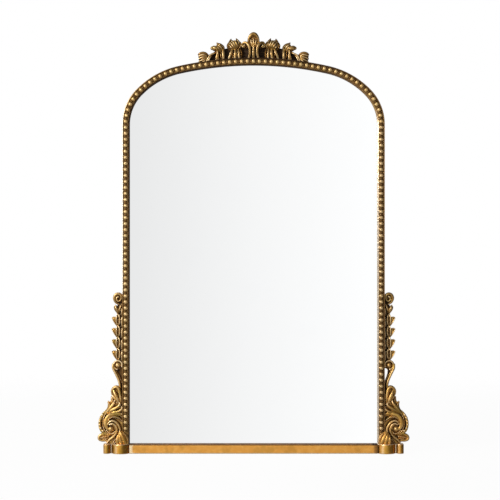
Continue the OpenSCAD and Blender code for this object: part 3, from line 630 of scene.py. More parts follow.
@dataclass(frozen=True)
class Arch:
    """The five-centred arch of the sight edge, in millimetres."""

    half: float = 297.5
    spring: float = 790.0
    haunch_r: float = 102.0
    haunch_deg: float = 44.0
    shoulder_r: float = 185.0
    shoulder_deg: float = 33.5
    width: float = 17.6
    stile_stations: int = 40

    @property
    def crown_deg(self) -> float:
        """Half the crown arc's sweep."""
        return 90.0 - self.haunch_deg - self.shoulder_deg

    @property
    def haunch_c(self) -> Flat:
        """Centre of the right haunch."""
        return self.half - self.haunch_r, self.spring

    @property
    def shoulder_c(self) -> Flat:
        """Centre of the right shoulder.

        Returns:
            Its place, as (across, up).
        """
        turn = math.radians(self.haunch_deg)
        step = self.shoulder_r - self.haunch_r
        return self.haunch_c[0] - step * math.cos(turn), self.haunch_c[1] - step * math.sin(turn)

    @property
    def crown_r(self) -> float:
        """Radius of the crown arc."""
        return self.shoulder_r + self.shoulder_c[0] / math.sin(math.radians(self.crown_deg))

    @property
    def crown_c(self) -> Flat:
        """Centre of the crown arc."""
        drop = (self.crown_r - self.shoulder_r) * math.cos(math.radians(self.crown_deg))
        return 0.0, self.shoulder_c[1] - drop

    @property
    def top(self) -> float:
        """Height of the frame's outer edge at the middle."""
        return self.crown_c[1] + self.crown_r + self.width

    def arc(self, centre: Flat, radius: float, start: float, end: float, step: float) -> np.ndarray:
        """Stations along one arc.

        Args:
            centre: The arc's centre.
            radius: Its radius on the sight edge.
            start: First angle, in degrees.
            end: Last angle.
            step: Greatest angle between stations.

        Returns:
            Rows of (x, y, outward x, outward y) on the sight edge.
        """
        count = max(2, int(math.ceil(abs(end - start) / step)) + 1)
        turns = np.radians(np.linspace(start, end, count))
        across, up = np.cos(turns), np.sin(turns)
        return np.stack([centre[0] + radius * across, centre[1] + radius * up, across, up], 1)

    def haunch(self) -> np.ndarray:
        """Stations of the right haunch."""
        return self.arc(self.haunch_c, self.haunch_r, 0, self.haunch_deg, 1.5)

    def shoulder(self) -> np.ndarray:
        """Stations of the right shoulder."""
        return self.arc(self.shoulder_c, self.shoulder_r, self.haunch_deg, 90 - self.crown_deg, 1.0)

    def crown(self) -> np.ndarray:
        """Stations of the crown."""
        return self.arc(self.crown_c, self.crown_r, 90 - self.crown_deg, 90 + self.crown_deg, 0.5)

    def stile(self, low: float) -> np.ndarray:
        """Stations up the right stile from its foot, as rows of (x, y, outward x, outward y)."""
        up = np.linspace(low, self.spring, self.stile_stations)
        return np.column_stack([np.full_like(up, self.half), up, np.ones_like(up), np.zeros_like(up)])

    def walk(self, beyond: float) -> np.ndarray:
        """The whole arch, from the right springing to the left, finely stepped.

        Args:
            beyond: Distance outside the sight edge that lengths are measured at.

        Returns:
            Rows of (length so far, x, y, outward x, outward y).
        """
        right = np.concatenate([self.haunch(), self.shoulder()[1:], self.crown()[1:]])
        left = np.concatenate([self.shoulder()[::-1][1:], self.haunch()[::-1][1:]]) * (-1, 1, -1, 1)
        fine = np.concatenate([right, left])
        spots = fine[:, :2] + fine[:, 2:] * beyond
        steps = np.linalg.norm(np.diff(spots, axis=0), axis=1)
        return np.column_stack([np.concatenate([[0.0], np.cumsum(steps)]), fine])


# ---------- sections swept along the frame ----------

@dataclass(frozen=True)
class Level:
    """A level of a piled outline: its height, how far it is drawn in and how pale its edge is made."""

    height: float
    inset: float = 0.0
    rub: float = 0.0


class Section:
    """A closed section, finely stepped, with its corners eased and patina, painted shade, abrasion and
    painted highlights marked from its curvature.

    Attributes:
        CORNER_POINTS: Points round an eased corner.
        CORNER_REACH: Greatest share of a side that an easing takes.
        BLUR: How widely the outline is smoothed to tell edges from hollows, in millimetres.
        BLUR_REACH: Where that smoothing ends.
        DEEP: Depth under the smoothed outline that is wholly hollow.
        PROUD: Height over it that is wholly pale.
        KEPT_WEAR_AND_HIGHLIGHT: Share of the pale mark that a place given painted shade keeps.
    """

    CORNER_POINTS = 5
    CORNER_REACH = 0.45
    BLUR = 1.5
    BLUR_REACH = 4.0
    DEEP = 0.45
    PROUD = 0.42
    KEPT_WEAR_AND_HIGHLIGHT = 0.25

    def __init__(self, corners: Sequence[tuple[float, float, float]], step: float = 0.45) -> None:
        """Eases the corners and steps round the outline.

        Args:
            corners: Rows of (outward, out from the wall, corner radius).
            step: Distance between points.
        """
        rounded: list[np.ndarray] = []
        for i, (x, v, radius) in enumerate(corners):
            here = np.array((x, v))
            before = np.array(corners[i - 1][:2]) - here
            after = np.array(corners[(i + 1) % len(corners)][:2]) - here
            reach = min(radius, self.CORNER_REACH * np.linalg.norm(before),
                        self.CORNER_REACH * np.linalg.norm(after))
            start = here + before / np.linalg.norm(before) * reach
            end = here + after / np.linalg.norm(after) * reach
            for t in np.linspace(0, 1, self.CORNER_POINTS):
                rounded.append((1 - t) ** 2 * start + 2 * t * (1 - t) * here + t * t * end)
        loop = np.array(rounded + rounded[:1])
        lengths = np.concatenate([[0.0], np.cumsum(np.linalg.norm(np.diff(loop, axis=0), axis=1))])
        keep = np.concatenate([[True], np.diff(lengths) > 1e-9])
        loop, lengths = loop[keep], lengths[keep]
        places = np.linspace(0, lengths[-1], int(lengths[-1] / step), endpoint=False)
        self.points = np.column_stack([np.interp(places, lengths, loop[:, k]) for k in (0, 1)])
        self.hollow, self.rub = self._curvature_marks(step)

    def _curvature_marks(self, step: float) -> tuple[np.ndarray, np.ndarray]:
        """Finds hollows and high edges from the outline's own curvature.

        Args:
            step: Distance between points.

        Returns:
            Dark and pale marks of each point.
        """
        reach = int(self.BLUR_REACH / step)
        weights = np.exp(-0.5 * (np.arange(-reach, reach + 1) * step / self.BLUR) ** 2)
        weights /= weights.sum()
        smooth = sum(w * np.roll(self.points, k, 0) for w, k in zip(weights, range(-reach, reach + 1)))
        lift = ((self.points - smooth) * self.outward()).sum(1)
        return np.clip(-lift / self.DEEP, 0, 1), np.clip(lift / self.PROUD, 0, 1)

    def outward(self) -> np.ndarray:
        """The direction out of the section at each point, whichever way round it runs.

        Returns:
            Unit vectors, one to a point.
        """
        along = np.roll(self.points, -1, 0) - np.roll(self.points, 1, 0)
        normal = np.column_stack([along[:, 1], -along[:, 0]])
        normal /= np.linalg.norm(normal, axis=1)[:, None] + 1e-9
        x, y = self.points.T
        return normal * np.sign((x * np.roll(y, -1) - np.roll(x, -1) * y).sum())

    def tone(self, where: np.ndarray, level: np.ndarray | float) -> None:
        """Makes part of the outline at least as dark as a level, as painted shade."""
        self.hollow[where] = np.maximum(self.hollow[where], level)

    def paint_highlight(self, where: np.ndarray, level: np.ndarray | float) -> None:
        """Paints a highlight on part of the outline, at least as pale as a level."""
        self.rub[where] = np.maximum(self.rub[where], level)

    def paint_shade(self, where: np.ndarray, level: float) -> None:
        """Paints shade on part of the outline and takes most of its pale mark away."""
        self.tone(where, level)
        self.rub[where] *= self.KEPT_WEAR_AND_HIGHLIGHT

    def sweep(self, stations: np.ndarray, before: "Section | None" = None,
              after: "Section | None" = None) -> Shell:
        """Sweeps the section along stations, its marks passing into those of its neighbours.

        Args:
            stations: Rows of (x, y, outward x, outward y).
            before: The neighbour at the first station.
            after: The neighbour at the last station.

        Returns:
            The swept shell.
        """
        u, v = self.points.T
        x = stations[:, 0:1] + stations[:, 2:3] * u
        y = stations[:, 1:2] + stations[:, 3:4] * u
        rings = np.stack([x, y, np.broadcast_to(v, x.shape)], -1)
        own = np.stack([self.hollow, self.rub], -1)
        marks = np.repeat(own[None], len(stations), 0)
        reach = np.linspace(0, 1, len(stations))[:, None, None]
        for other, near in ((before, 1 - reach), (after, reach)):
            if other is not None:
                marks += (np.stack([other.hollow, other.rub], -1) - own) * np.clip(near - 0.5, 0, 0.5)
        made = Shell()
        made.loft(rings, marks)
        return made

    def pile(self, levels: Sequence[Level], axes: Sequence[int],
             follow: np.ndarray | float = 1.0) -> Shell:
        """Piles the outline up into a solid, drawn in at its eased edges.

        Args:
            levels: The levels, from one end to the other.
            axes: Which of the outline's two directions and the height run across, up and out.
            follow: How far each point follows the levels' insets, 0 to 1.

        Returns:
            The solid's shell.
        """
        rings, marks = [], []
        for level in levels:
            moved = self.points - self.outward() * level.inset * follow
            rings.append(np.column_stack([moved, np.full(len(moved), float(level.height))])[:, axes])
            marks.append(np.column_stack([self.hollow, np.maximum(self.rub, level.rub)]))
        made = Shell()
        made.loft(np.stack(rings), np.stack(marks))
        return made


@dataclass
class FramePart:
    """What the parts of the frame share, in millimetres.

    Attributes:
        arch: The arch that they follow.
        batten: Distance of the battens' front from the wall.
        panel: Distance of the back panel's front from the wall.
        lip: Distance of the glass's front, with its play, from the wall.
        bed: Distance of the bed under the beads from the wall.
        line: Distance of the bead line outside the sight edge.
        rebate: Width of the rebate round the glass.
        rail_top: Height of the base rail.
    """

    arch: Arch
    batten: float = 8.0
    panel: float = 18.0
    lip: float = 22.3
    bed: float = 31.0
    line: float = 9.4
    rebate: float = 6.0
    rail_top: float = 22.8


@dataclass(frozen=True)
class Toning:
    """Painted shade and painted highlight of one length of moulding, lit from the left, each 0 to 1."""

    outer: float
    outer_highlight: float
    sight: float
    sight_highlight: float
    bed: float


@dataclass
class Moulding(FramePart):
    """The frame's moulding: outer fillet, bead bed, ridge and canted sight edge.

    Attributes:
        front: Distance of the outer fillet's front from the wall.
        cant: Width of the canted sight edge.
        cant_foot: Distance of the cant's foot from the wall.
        ridge: Width and height of the ridge beside the beads.
        fillet: Width of the outer fillet.
        face: Depth of the outer fillet's face, which takes the painted highlight.
        bed_edge: Distance under the front at which the bed's painted shade ends.
        slack: How far past an edge the painted shade and highlight reach.
        carved: Height that the carving beside the stile reaches.
        under_beads: How dark the bed is painted under the beads, as painted shade.
        beside_carving: How dark the outer fillet is painted beside the carving, as painted shade.
        crown: Painted shade of the crown, under the crest.
        right: Painted shade and highlight of the right stile, haunch and shoulder.
        left: Those of the left ones, nearer the light.
    """

    front: float = 35.2
    cant: float = 3.6
    cant_foot: float = 24.6
    ridge: float = 0.8
    fillet: float = 2.4
    face: float = 2.0
    bed_edge: float = 1.2
    slack: float = 0.1
    carved: float = 385.0
    under_beads: float = 0.52
    beside_carving: float = 0.62
    # Light comes from the left: painted highlights on the right cant and the left fillet, painted shade on
    # the left cant, the right fillet, the beds and the arch.
    crown: Toning = Toning(outer=0.95, outer_highlight=0.0, sight=0.86, sight_highlight=0.0, bed=0.7)
    right: tuple[Toning, ...] = (Toning(0.42, 0.0, 0.12, 0.62, 0.66), Toning(0.5, 0.0, 0.34, 0.25, 0.64),
                                 Toning(0.66, 0.0, 0.66, 0.0, 0.64))
    left: tuple[Toning, ...] = (Toning(0.0, 1.0, 0.70, 0.0, 0.22), Toning(0.2, 0.4, 0.82, 0.0, 0.38),
                                Toning(0.5, 0.1, 0.92, 0.0, 0.58))

    def section(self, toning: Toning) -> Section:
        """The moulding's section, with painted shade in its bed and painted shade and highlights on its
        fillet and cant.

        Args:
            toning: The painted shade and highlight of this length.

        Returns:
            The section.
        """
        width, inside = self.arch.width, self.arch.width - self.fillet
        ridge_top = self.bed + self.ridge
        made = Section((
            (self.rebate, self.panel, 0.1), (width, self.panel, 0.3), (width, self.front, 2.6),
            (inside, self.front, 1.6), (inside, self.bed, 0.4), (self.cant, self.bed, 0.3),
            (self.cant, ridge_top, 0.35), (self.cant - self.ridge, ridge_top, 0.35),
            (0.0, self.cant_foot, 0.4), (0.0, self.lip, 0.2), (self.rebate, self.lip, 0.1)))
        u, v = made.points.T
        canted = (u < self.cant) & (v > self.lip)
        fillet = u > inside - self.slack
        # Painted shade under the beads, in the bed, on the cant and on the fillet; painted highlights on the
        # cant and the fillet's face.
        made.paint_shade((u > self.cant - self.slack) & (u < self.line), self.under_beads)
        outside = (u >= self.line) & (u < inside + self.slack)
        made.paint_shade(outside & (v < self.front - self.bed_edge), toning.bed)
        made.paint_shade(canted, toning.sight)
        made.paint_shade(fillet, toning.outer)
        made.paint_highlight(canted, toning.sight_highlight)
        made.paint_highlight(fillet & (v > self.front - self.face), toning.outer_highlight)
        return made

    def stile(self, section: Section, above: Section) -> Shell:
        """The right stile, with painted shade on its outer fillet beside the carving.

        Args:
            section: The moulding's section.
            above: The section of the haunch above.

        Returns:
            The stile's shell.
        """
        made = section.sweep(self.arch.stile(self.rail_top), after=above)
        x, y, _ = made.points[0].T
        # Painted shade on the outer fillet where the carving stands beside it, with its pale mark mostly
        # taken away.
        beside = (x > self.arch.half + self.arch.width - self.fillet - self.slack) & (y < self.carved)
        shaded_marks = made.marks[0][beside] * (1.0, 0.2)
        made.marks[0][beside] = np.maximum(shaded_marks, (self.beside_carving, 0.0))
        return made

    def build(self) -> None:
        """Builds the stiles and the arch's five lengths, with painted shade on the right, the side away from
        the light.
        """
        crown = self.section(self.crown)
        ends: list[Section] = []
        for side, finish, shadings in ((Side.RIGHT, FRAME_GILT_SHADED_RIGHT, self.right),
                                      (Side.LEFT, FRAME_GILT, self.left)):
            stile, haunch, shoulder = (self.section(toning) for toning in shadings)
            shells = {"stile": self.stile(stile, haunch),
                      "haunch": haunch.sweep(self.arch.haunch(), stile, shoulder),
                      "shoulder": shoulder.sweep(self.arch.shoulder(), haunch, crown)}
            for name, shell in shells.items():
                mesh = stand(shell.mesh(name), side)
                piece(f"{side.word}_gilt_{name}", mesh, finish, Sharp.RUN, f"{side.word}_{name}")
            ends.append(shoulder)
        mesh = stand(crown.sweep(self.arch.crown(), *ends).mesh("crown"))
        piece("gilt_crown", mesh, FRAME_GILT, Sharp.RUN, "crown")


# ---------- bead and reel ----------

@dataclass
class BeadAndReel(FramePart):
    """Beads and thin reels turned along one line, lying in the moulding's bed.

    Attributes:
        lift: Height of the line over the bed.
        bead_r: Radius of a bead.
        reel_r: Radius of a reel.
        reel_t: Thickness of a reel.
        neck_r: Radius of the neck between them.
        pitch: Distance between beads on a stile.
        stile_beads: Beads on a stile.
        arch_beads: Beads round the arch.
        sides: Points round the turning.
        dark_foot: Height over the bed that is darkened, by patina and painted shade.
        pale_crown: Height of a bead over which it grows pale, by abrasion and painted highlight.
    """

    lift: float = 2.2
    bead_r: float = 5.4
    reel_r: float = 4.1
    reel_t: float = 2.2
    neck_r: float = 2.9
    pitch: float = 14.45
    stile_beads: int = 51
    arch_beads: int = 53
    sides: int = 22
    dark_foot: float = 2.6
    pale_crown: float = 4.4

    def turning(self, pitch: float) -> tuple[np.ndarray, np.ndarray]:
        """One bead and two half reels, as a turner's profile.

        Args:
            pitch: Distance between beads.

        Returns:
            Places along the pitch, from its start, and the radius at each.
        """
        half = pitch / 2
        swell = np.radians(np.linspace(-62, 62, 13))
        bead_at = half + self.bead_r * np.sin(swell)
        bead = self.bead_r * np.cos(swell)
        reel_edge = self.reel_t / 2
        reel_at = np.array([0.0, 0.45, 0.8]) * reel_edge
        reel = np.array([self.reel_r, self.reel_r - 0.12, self.reel_r - 0.6])
        neck_at = np.array([reel_edge + 0.12, max(reel_edge + 0.2, bead_at[0] - 0.25)])
        neck = np.array([self.neck_r + 0.2, self.neck_r - 0.35])
        places = [reel_at, neck_at, bead_at, (pitch - neck_at)[::-1], (pitch - reel_at)[::-1]]
        return np.concatenate(places), np.concatenate([reel, neck, bead, neck[::-1], reel[::-1]])

    def strip(self, rail: np.ndarray, beads: int) -> Shell:
        """Turns a strip along a line.

        Args:
            rail: Rows of (length so far, x, y, outward x, outward y) on the bead line.
            beads: How many beads.

        Returns:
            The strip's shell.
        """
        pitch = rail[-1, 0] / beads
        places, radii = self.turning(pitch)
        along = np.concatenate([places[:-1] + i * pitch for i in range(beads)] + [[rail[-1, 0]]])
        radius = np.concatenate([np.tile(radii[:-1], beads), radii[-1:]])
        x, y, across, up = (np.interp(along, rail[:, 0], rail[:, k]) for k in range(1, 5))
        size = np.hypot(across, up)
        across, up = across / size, up / size
        turns = np.radians(np.linspace(0, 360, self.sides, endpoint=False) + 90)
        out, rise = np.cos(turns), np.sin(turns)
        u = self.line + radius[:, None] * out
        v = np.maximum(self.bed, self.bed + self.lift + radius[:, None] * rise)
        rings = np.stack([x[:, None] + across[:, None] * u, y[:, None] + up[:, None] * u, v], -1)
        reel = (np.abs((along + pitch / 2) % pitch - pitch / 2) < self.reel_t * 0.55)[:, None]
        neck = np.clip(self.neck_r + 0.9 - radius, 0, 1)[:, None]
        foot = np.clip((self.bed + self.dark_foot - v) / self.dark_foot, 0, 1)
        crown = np.clip((v - self.bed - self.lift) / self.pale_crown, 0, 1)
        # Patina and painted shade at the necks, the reels and the feet; abrasion and painted highlight on the
        # crowns.
        hollow = np.clip(neck + foot * 0.38 + reel * 0.56, 0, 1)
        made = Shell()
        made.loft(rings, np.stack([hollow, crown * (1 - neck) * (1 - 0.8 * reel) * 0.62], -1))
        return made

    def build(self) -> None:
        """Builds the two stile strips and the arch strip."""
        foot = self.arch.spring - self.stile_beads * self.pitch
        run = self.arch.stile(foot)
        stile = self.strip(np.column_stack([run[:, 1] - foot, run]), self.stile_beads).mesh("strip")
        both_sides("gilt_beads", stile, BEAD_GILT_SHADED_RIGHT, BEAD_GILT, "bead_strip", Sharp.TURNED)
        arch = stand(self.strip(self.arch.walk(self.line), self.arch_beads).mesh("arch_strip"))
        piece("arch_gilt_beads", arch, BEAD_GILT_ARCH, Sharp.TURNED, "arch_bead_strip")


# ---------- base ----------

@dataclass
class Base(FramePart):
    """The base rail and the two lobed plinth blocks.

    Attributes:
        depth: Distance of the rail's front from the wall.
        step_h: Height of the step along the rail's top.
        step_d: How far the step lies behind the front.
        step_sink: How far the step is let down.
        front: Distance of the big lobe's front from the wall.
        big_r: Radius of the big lobe.
        small_r: Radius of the small lobe.
        small_front: Distance of the small lobe's front from the wall.
        quirk: Width of the quirk between the lobes.
        quirk_floor: Distance of the quirk's floor from the wall.
        dark_end: Length of the rail's right end that is made darker.
        pale_end: Length of its left end that is made paler.
        edge: Levels of a block's eased lower edge.
        courses: Levels between its edges.
    """

    depth: float = 40.0
    step_h: float = 2.2
    step_d: float = 4.0
    step_sink: float = 0.5
    front: float = 50.0
    big_r: float = 21.5
    small_r: float = 8.6
    small_front: float = 42.0
    quirk: float = 2.8
    quirk_floor: float = 31.0
    dark_end: float = 14.0
    pale_end: float = 12.0
    edge: tuple[Level, ...] = (Level(0.0, 0.8, 0.9), Level(0.25, 0.3, 0.9), Level(0.8, 0.0, 0.5))
    courses: tuple[Level, ...] = (Level(2.4), Level(6.0), Level(11.4), Level(16.8), Level(20.4))

    def rail(self) -> bpy.types.Mesh:
        """The rail, with eased edges, painted shade in the step along its top, darker at its right end and
        paler at its left.

        Returns:
            The rail's mesh in the flat drawing.
        """
        half, groove = self.arch.half, self.rail_top - self.rebate
        shelf, ledge = self.rail_top - self.step_h, self.depth - self.step_d
        section = Section(((0, self.panel, 0.2), (0, self.depth, 2.6), (shelf, self.depth, 2.6),
                           (shelf, ledge, 0.5), (self.rail_top, ledge, 0.8), (self.rail_top, self.lip, 0.3),
                           (groove, self.lip, 0.1), (groove, self.panel, 0.1)), step=0.6)
        up, v = section.points.T
        # Painted shade in the step along the rail's top.
        section.paint_shade((up > shelf - 0.4) & (v < ledge + 0.9), 0.66)
        section.rub[up > shelf * 0.75] *= 0.35
        section.points[:, 0] = up - np.clip(up - shelf, 0, 1) * self.step_sink
        across = np.linspace(-half, half, 160)
        level = np.zeros_like(across)
        made = section.sweep(np.column_stack([across, level, level, np.ones_like(across)]))
        x, _, v = made.points[0].T
        hollow, rub = made.marks[0].T
        # Darker towards the right end, paler on the front at the left end.
        hollow += 0.62 * np.clip((x - half + self.dark_end) / 10, 0, 1)
        rub += 0.85 * np.clip((self.pale_end - half - x) / 8, 0, 1) * (v > self.depth - 1)
        return made.mesh("rail")

    def block(self, side: Side) -> bpy.types.Mesh:
        """A plinth block: two half-round lobes, with painted shade on the side away from the light and a
        painted highlight on the lit side, and a quirk.

        Args:
            side: The side that it is for.

        Returns:
            The block's mesh in the flat drawing, right-handed.
        """
        inner, edge = self.arch.half, self.arch.half + self.arch.width
        outer = inner + 2 * self.big_r + self.quirk + 2 * self.small_r
        big_x, small_x = inner + self.big_r, outer - self.small_r
        big = self.lobe(big_x, self.front, self.big_r, 37)
        small = self.lobe(small_x, self.small_front, self.small_r, 25)
        floor = [(big[-1][0], self.quirk_floor, 0.3), (small[0][0], self.quirk_floor, 0.3)]
        section = Section([(inner, self.panel, 0.2), *big, *floor, *small, (outer, self.batten, 0.5),
                           (edge, self.batten, 0.3), (edge, self.panel, 0.2)], step=0.6)
        x, v = section.points.T
        quirk = abs(x - big[-1][0] - self.quirk / 2)
        # Painted shade on the quirk's sides and a painted highlight on its floor.
        section.paint_shade((quirk > 0.8) & (quirk < self.quirk * 0.8) & (v < 35), 0.5)
        pale_mask = (quirk <= 0.8) & (v < 33)
        section.rub[pale_mask] = 0.8
        section.hollow[pale_mask] = 0.0
        for middle, radius in ((big_x, self.big_r), (small_x, self.small_r)):
            round_lobe = (abs(x - middle) < radius) & (v > 33)
            # Painted shade on each lobe's side away from the light and a painted highlight on its lit side.
            painted_shade = np.clip((side.value * (x - middle) / radius - 0.02) / 0.45, 0, 1)
            lit = np.clip(1 - abs(side.value * (x - middle) / radius + 0.46) / 0.5, 0, 1)
            section.tone(round_lobe, painted_shade[round_lobe] * 0.40)
            section.paint_highlight(round_lobe, lit[round_lobe] * 0.5)
        top = [replace(level, height=self.rail_top - level.height) for level in self.edge[::-1]]
        return section.pile([*self.edge, *self.courses, *top], (0, 2, 1)).mesh("block")

    @staticmethod
    def lobe(middle: float, front: float, radius: float, count: int) -> list[tuple[float, float, float]]:
        """A half-round lobe of a plinth's plan, as rows of (across, out from the wall, no radius)."""
        return [(middle - radius * math.cos(a), front - radius + radius * math.sin(a), 0.0)
                for a in np.radians(np.linspace(0, 180, count))]

    def build(self) -> None:
        """Builds the rail and both blocks."""
        piece("gilt_base_rail", stand(self.rail()), BASE_GILT, Sharp.RUN, "base_rail")
        for side in Side:
            mesh = stand(self.block(side), side)
            piece(f"{side.word}_gilt_plinth", mesh, PLINTH_GILT, Sharp.RUN, f"{side.word}_plinth")


# ---------- carving ----------

class Cut(Enum):
    """How a strand is carved: half its section, as (across, drop below the crown) in half widths."""

    ROUND = ((0.0, 0.0), (0.28, 0.05), (0.56, 0.18), (0.80, 0.42), (0.95, 0.72), (1.0, 1.15))
    RIDGE = ((0.0, 0.0), (0.16, 0.15), (0.42, 0.52), (0.72, 0.86), (0.95, 1.15), (1.0, 1.5))
    LEAF = ((0.0, 0.95), (0.30, 0.62), (0.62, 0.10), (0.84, 0.12), (0.97, 0.45), (1.0, 0.9))
    FACE = ((0.0, 0.0), (0.32, 0.02), (0.64, 0.09), (0.86, 0.26), (0.97, 0.56), (1.0, 1.0))

    def section(self) -> np.ndarray:
        """The whole section, on a stem that is a little narrower and reaches the ground."""
        half = np.array([*self.value, (0.80, 9.9)])
        return np.concatenate([half[:0:-1] * (-1, 1), half])


@dataclass(frozen=True)
class Strand:
    """One carved strand: its cut, and rows of (across, up, half width, height of its crown).

    Attributes:
        ENDS: How an end rounds off: rows of (reach beyond it, width left), both in half widths.
        END_DROP: How far the crown drops there for the width that is lost.
    """

    ENDS = ((0.45, 0.88), (0.8, 0.58), (0.98, 0.16))
    END_DROP = 0.9
    cut: Cut
    points: tuple[tuple[float, float, float, float], ...]

    def mirrored(self) -> "Strand":
        """The strand's mirror image."""
        return Strand(self.cut, tuple((-x, y, w, t) for x, y, w, t in self.points))

    def spine(self, step: float = 1.1) -> np.ndarray:
        """A smooth curve through the strand's points.

        Args:
            step: Distance between the curve's points.

        Returns:
            Rows of (across, up, half width, height of its crown).
        """
        rows = np.array(self.points, float)
        padded = np.concatenate([2 * rows[:1] - rows[1:2], rows, 2 * rows[-1:] - rows[-2:-1]])
        curve = []
        for i in range(len(rows) - 1):
            p0, p1, p2, p3 = padded[i:i + 4]
            count = max(2, int(np.linalg.norm((p2 - p1)[:2]) / step))
            t = np.linspace(0, 1, count, endpoint=False)[:, None]
            curve.append(0.5 * (2 * p1 + (p2 - p0) * t + (2 * p0 - 5 * p1 + 4 * p2 - p3) * t ** 2
                                + (3 * p1 - p0 - 3 * p2 + p3) * t ** 3))
        return np.concatenate(curve + [rows[-1:]])

    def rounded(self, row: np.ndarray, way: np.ndarray) -> list[np.ndarray]:
        """Rounds an end off.

        Args:
            row: The curve's last row.
            way: Direction out of the strand there.

        Returns:
            The rows beyond it, from the curve outwards.
        """
        spot, w, t = row[:2], row[2], row[3]
        return [np.array((*(spot + way * w * reach), w * width, t - w * (1 - width) * self.END_DROP))
                for reach, width in self.ENDS]

    def carve(self, shell: Shell, up: float = 0.0) -> None:
        """Adds the strand to a shell, with rounded ends.

        Args:
            shell: The shell.
            up: How far up the strand is moved.
        """
        line = self.spine()
        heading = np.gradient(line[:, :2], axis=0)
        heading /= np.linalg.norm(heading, axis=1)[:, None] + 1e-9
        start, end = self.rounded(line[0], -heading[0]), self.rounded(line[-1], heading[-1])
        rows = np.array([*start[::-1], *line, *end])
        ways = np.concatenate([heading[:1].repeat(len(start), 0), heading, heading[-1:].repeat(len(end), 0)])
        cut = self.cut.section()
        w, t = rows[:, 2:3], rows[:, 3:4]
        side = np.column_stack([-ways[:, 1], ways[:, 0]])
        x = rows[:, 0:1] + side[:, 0:1] * w * cut[:, 0]
        y = rows[:, 1:2] + up + side[:, 1:2] * w * cut[:, 0]
        v = np.maximum(t - w * cut[:, 1], 0.0)
        v[:, 0] = v[:, -1] = 0.0
        shell.loft(np.stack([x, y, v], -1))


# The side carving's courses, across from the frame's outer edge and up from the base.
# First the big C-scroll: its rim, the bands round its boss and the arms at its foot.
SCROLL = (
    Strand(Cut.FACE, ((41.4, 100.3, 2.4, 15), (48.3, 91.7, 3, 17), (53.2, 80.7, 3.2, 18),
        (54.8, 68.4, 3.2, 18), (52.4, 57.4, 3.2, 18), (45.9, 49.5, 3, 17), (33, 43.7, 2.6, 16))),
    Strand(Cut.RIDGE, ((38.5, 98.4, 1.6, 17), (44.3, 88, 1.8, 19), (46.3, 75.8, 1.8, 20),
        (45.8, 64.8, 1.8, 20), (42.2, 55, 1.8, 20), (34.3, 47, 1.8, 19), (24.5, 44, 1.6, 18))),
    Strand(Cut.FACE, ((0, 88, 2.2, 17), (7.3, 92.3, 2.8, 20), (18.3, 94.4, 3.4, 22.5),
        (30.6, 91.1, 4.4, 24.5), (38.2, 81.9, 4.8, 25.5), (40.1, 70.9, 4.8, 25.5), (36.7, 61.7, 4, 24.5),
        (30.6, 57.4, 3, 24))),
    Strand(Cut.ROUND, ((-0.8, 93.6, 1.8, 17), (8.5, 97.6, 2.6, 19.5), (20.8, 97.8, 2.8, 21),
        (31.8, 94.4, 2.4, 21), (37.9, 88, 1.8, 20))),
    Strand(Cut.RIDGE, ((0, 77, 2.4, 20), (11, 85.8, 3, 23.5), (23.2, 87.7, 3, 25),
        (31.8, 82.9, 2.6, 25.5), (36.7, 75.2, 2, 25))),
    Strand(Cut.ROUND, ((0, 29.3, 2.4, 18), (5.8, 40.3, 2.9, 22), (4.6, 52.5, 3, 24),
        (7.6, 64.8, 3.1, 25), (14.4, 74.3, 3, 25.5), (23.8, 78.5, 2.6, 25.8), (31.2, 75.2, 2.2, 25.5),
        (35.2, 69.7, 1.8, 25))),
    Strand(Cut.ROUND, ((36.9, 26.2, 2.4, 18), (30.6, 32.9, 2.9, 20), (21.3, 40.3, 3.2, 22),
        (14.7, 48.9, 3.3, 24), (13.4, 58.7, 3.2, 25), (16.9, 67.2, 2.8, 25.8), (24, 71.4, 2.3, 25.8),
        (30.3, 69.2, 1.8, 25))),
    Strand(Cut.RIDGE, ((37.9, 55, 1.8, 21), (30, 48.6, 2.2, 22), (22.6, 47.9, 2, 22),
        (18.3, 52.5, 1.6, 21))),
    Strand(Cut.LEAF, ((4.3, 41.5, 2.2, 17), (11.6, 35.4, 3.2, 20), (18.9, 27.4, 3.2, 18),
        (24.5, 21.3, 1.8, 15))),
    Strand(Cut.ROUND, ((6.7, 45.2, 2.4, 19), (4.6, 37.2, 2.6, 17), (-2.5, 26.8, 2, 14))),
    Strand(Cut.ROUND, ((32.4, 31.7, 2.4, 15), (36.7, 21.9, 2.2, 13))),
)

# The spray of leaves over the scroll.
SPRAY = (
    Strand(Cut.RIDGE, ((26.9, 111.3, 3, 13), (24.4, 121.7, 4.4, 14.5), (24.6, 129.9, 4.4, 14.5),
        (26.7, 134.3, 2, 12.5))),
    Strand(Cut.RIDGE, ((38.6, 100.2, 2.8, 15), (32.7, 109, 4.2, 17), (31.6, 116.5, 4.2, 17.5),
        (34.8, 122.9, 2, 14.5))),
    Strand(Cut.FACE, ((30.4, 90.4, 2.6, 19), (23.4, 94.5, 3.2, 21), (13, 96.2, 3.2, 22),
        (2.5, 94.4, 2.6, 20.5))),
    Strand(Cut.ROUND, ((40, 95, 2.6, 19), (34.8, 102, 3.8, 22), (27.2, 111.3, 4.4, 24.2),
        (20.6, 120.1, 3.4, 23.6), (17.9, 126.6, 1.6, 21))),
    Strand(Cut.ROUND, ((37.9, 96.2, 2.4, 19), (28.3, 102.4, 3.4, 22.5), (18.8, 107.1, 4.1, 25),
        (10.6, 112.4, 3.7, 25.3), (6.2, 117.6, 2.7, 24.5), (8.1, 122, 1.9, 22.5),
        (12.7, 122.7, 1.4, 20.5))),
    Strand(Cut.ROUND, ((34.8, 94.1, 2.4, 18), (24.6, 98.3, 3.1, 21), (14.1, 99.4, 3.5, 23),
        (5.8, 102.7, 3.3, 23.5), (1.1, 107.8, 2.5, 22.5), (3, 112.4, 1.6, 20))),
)

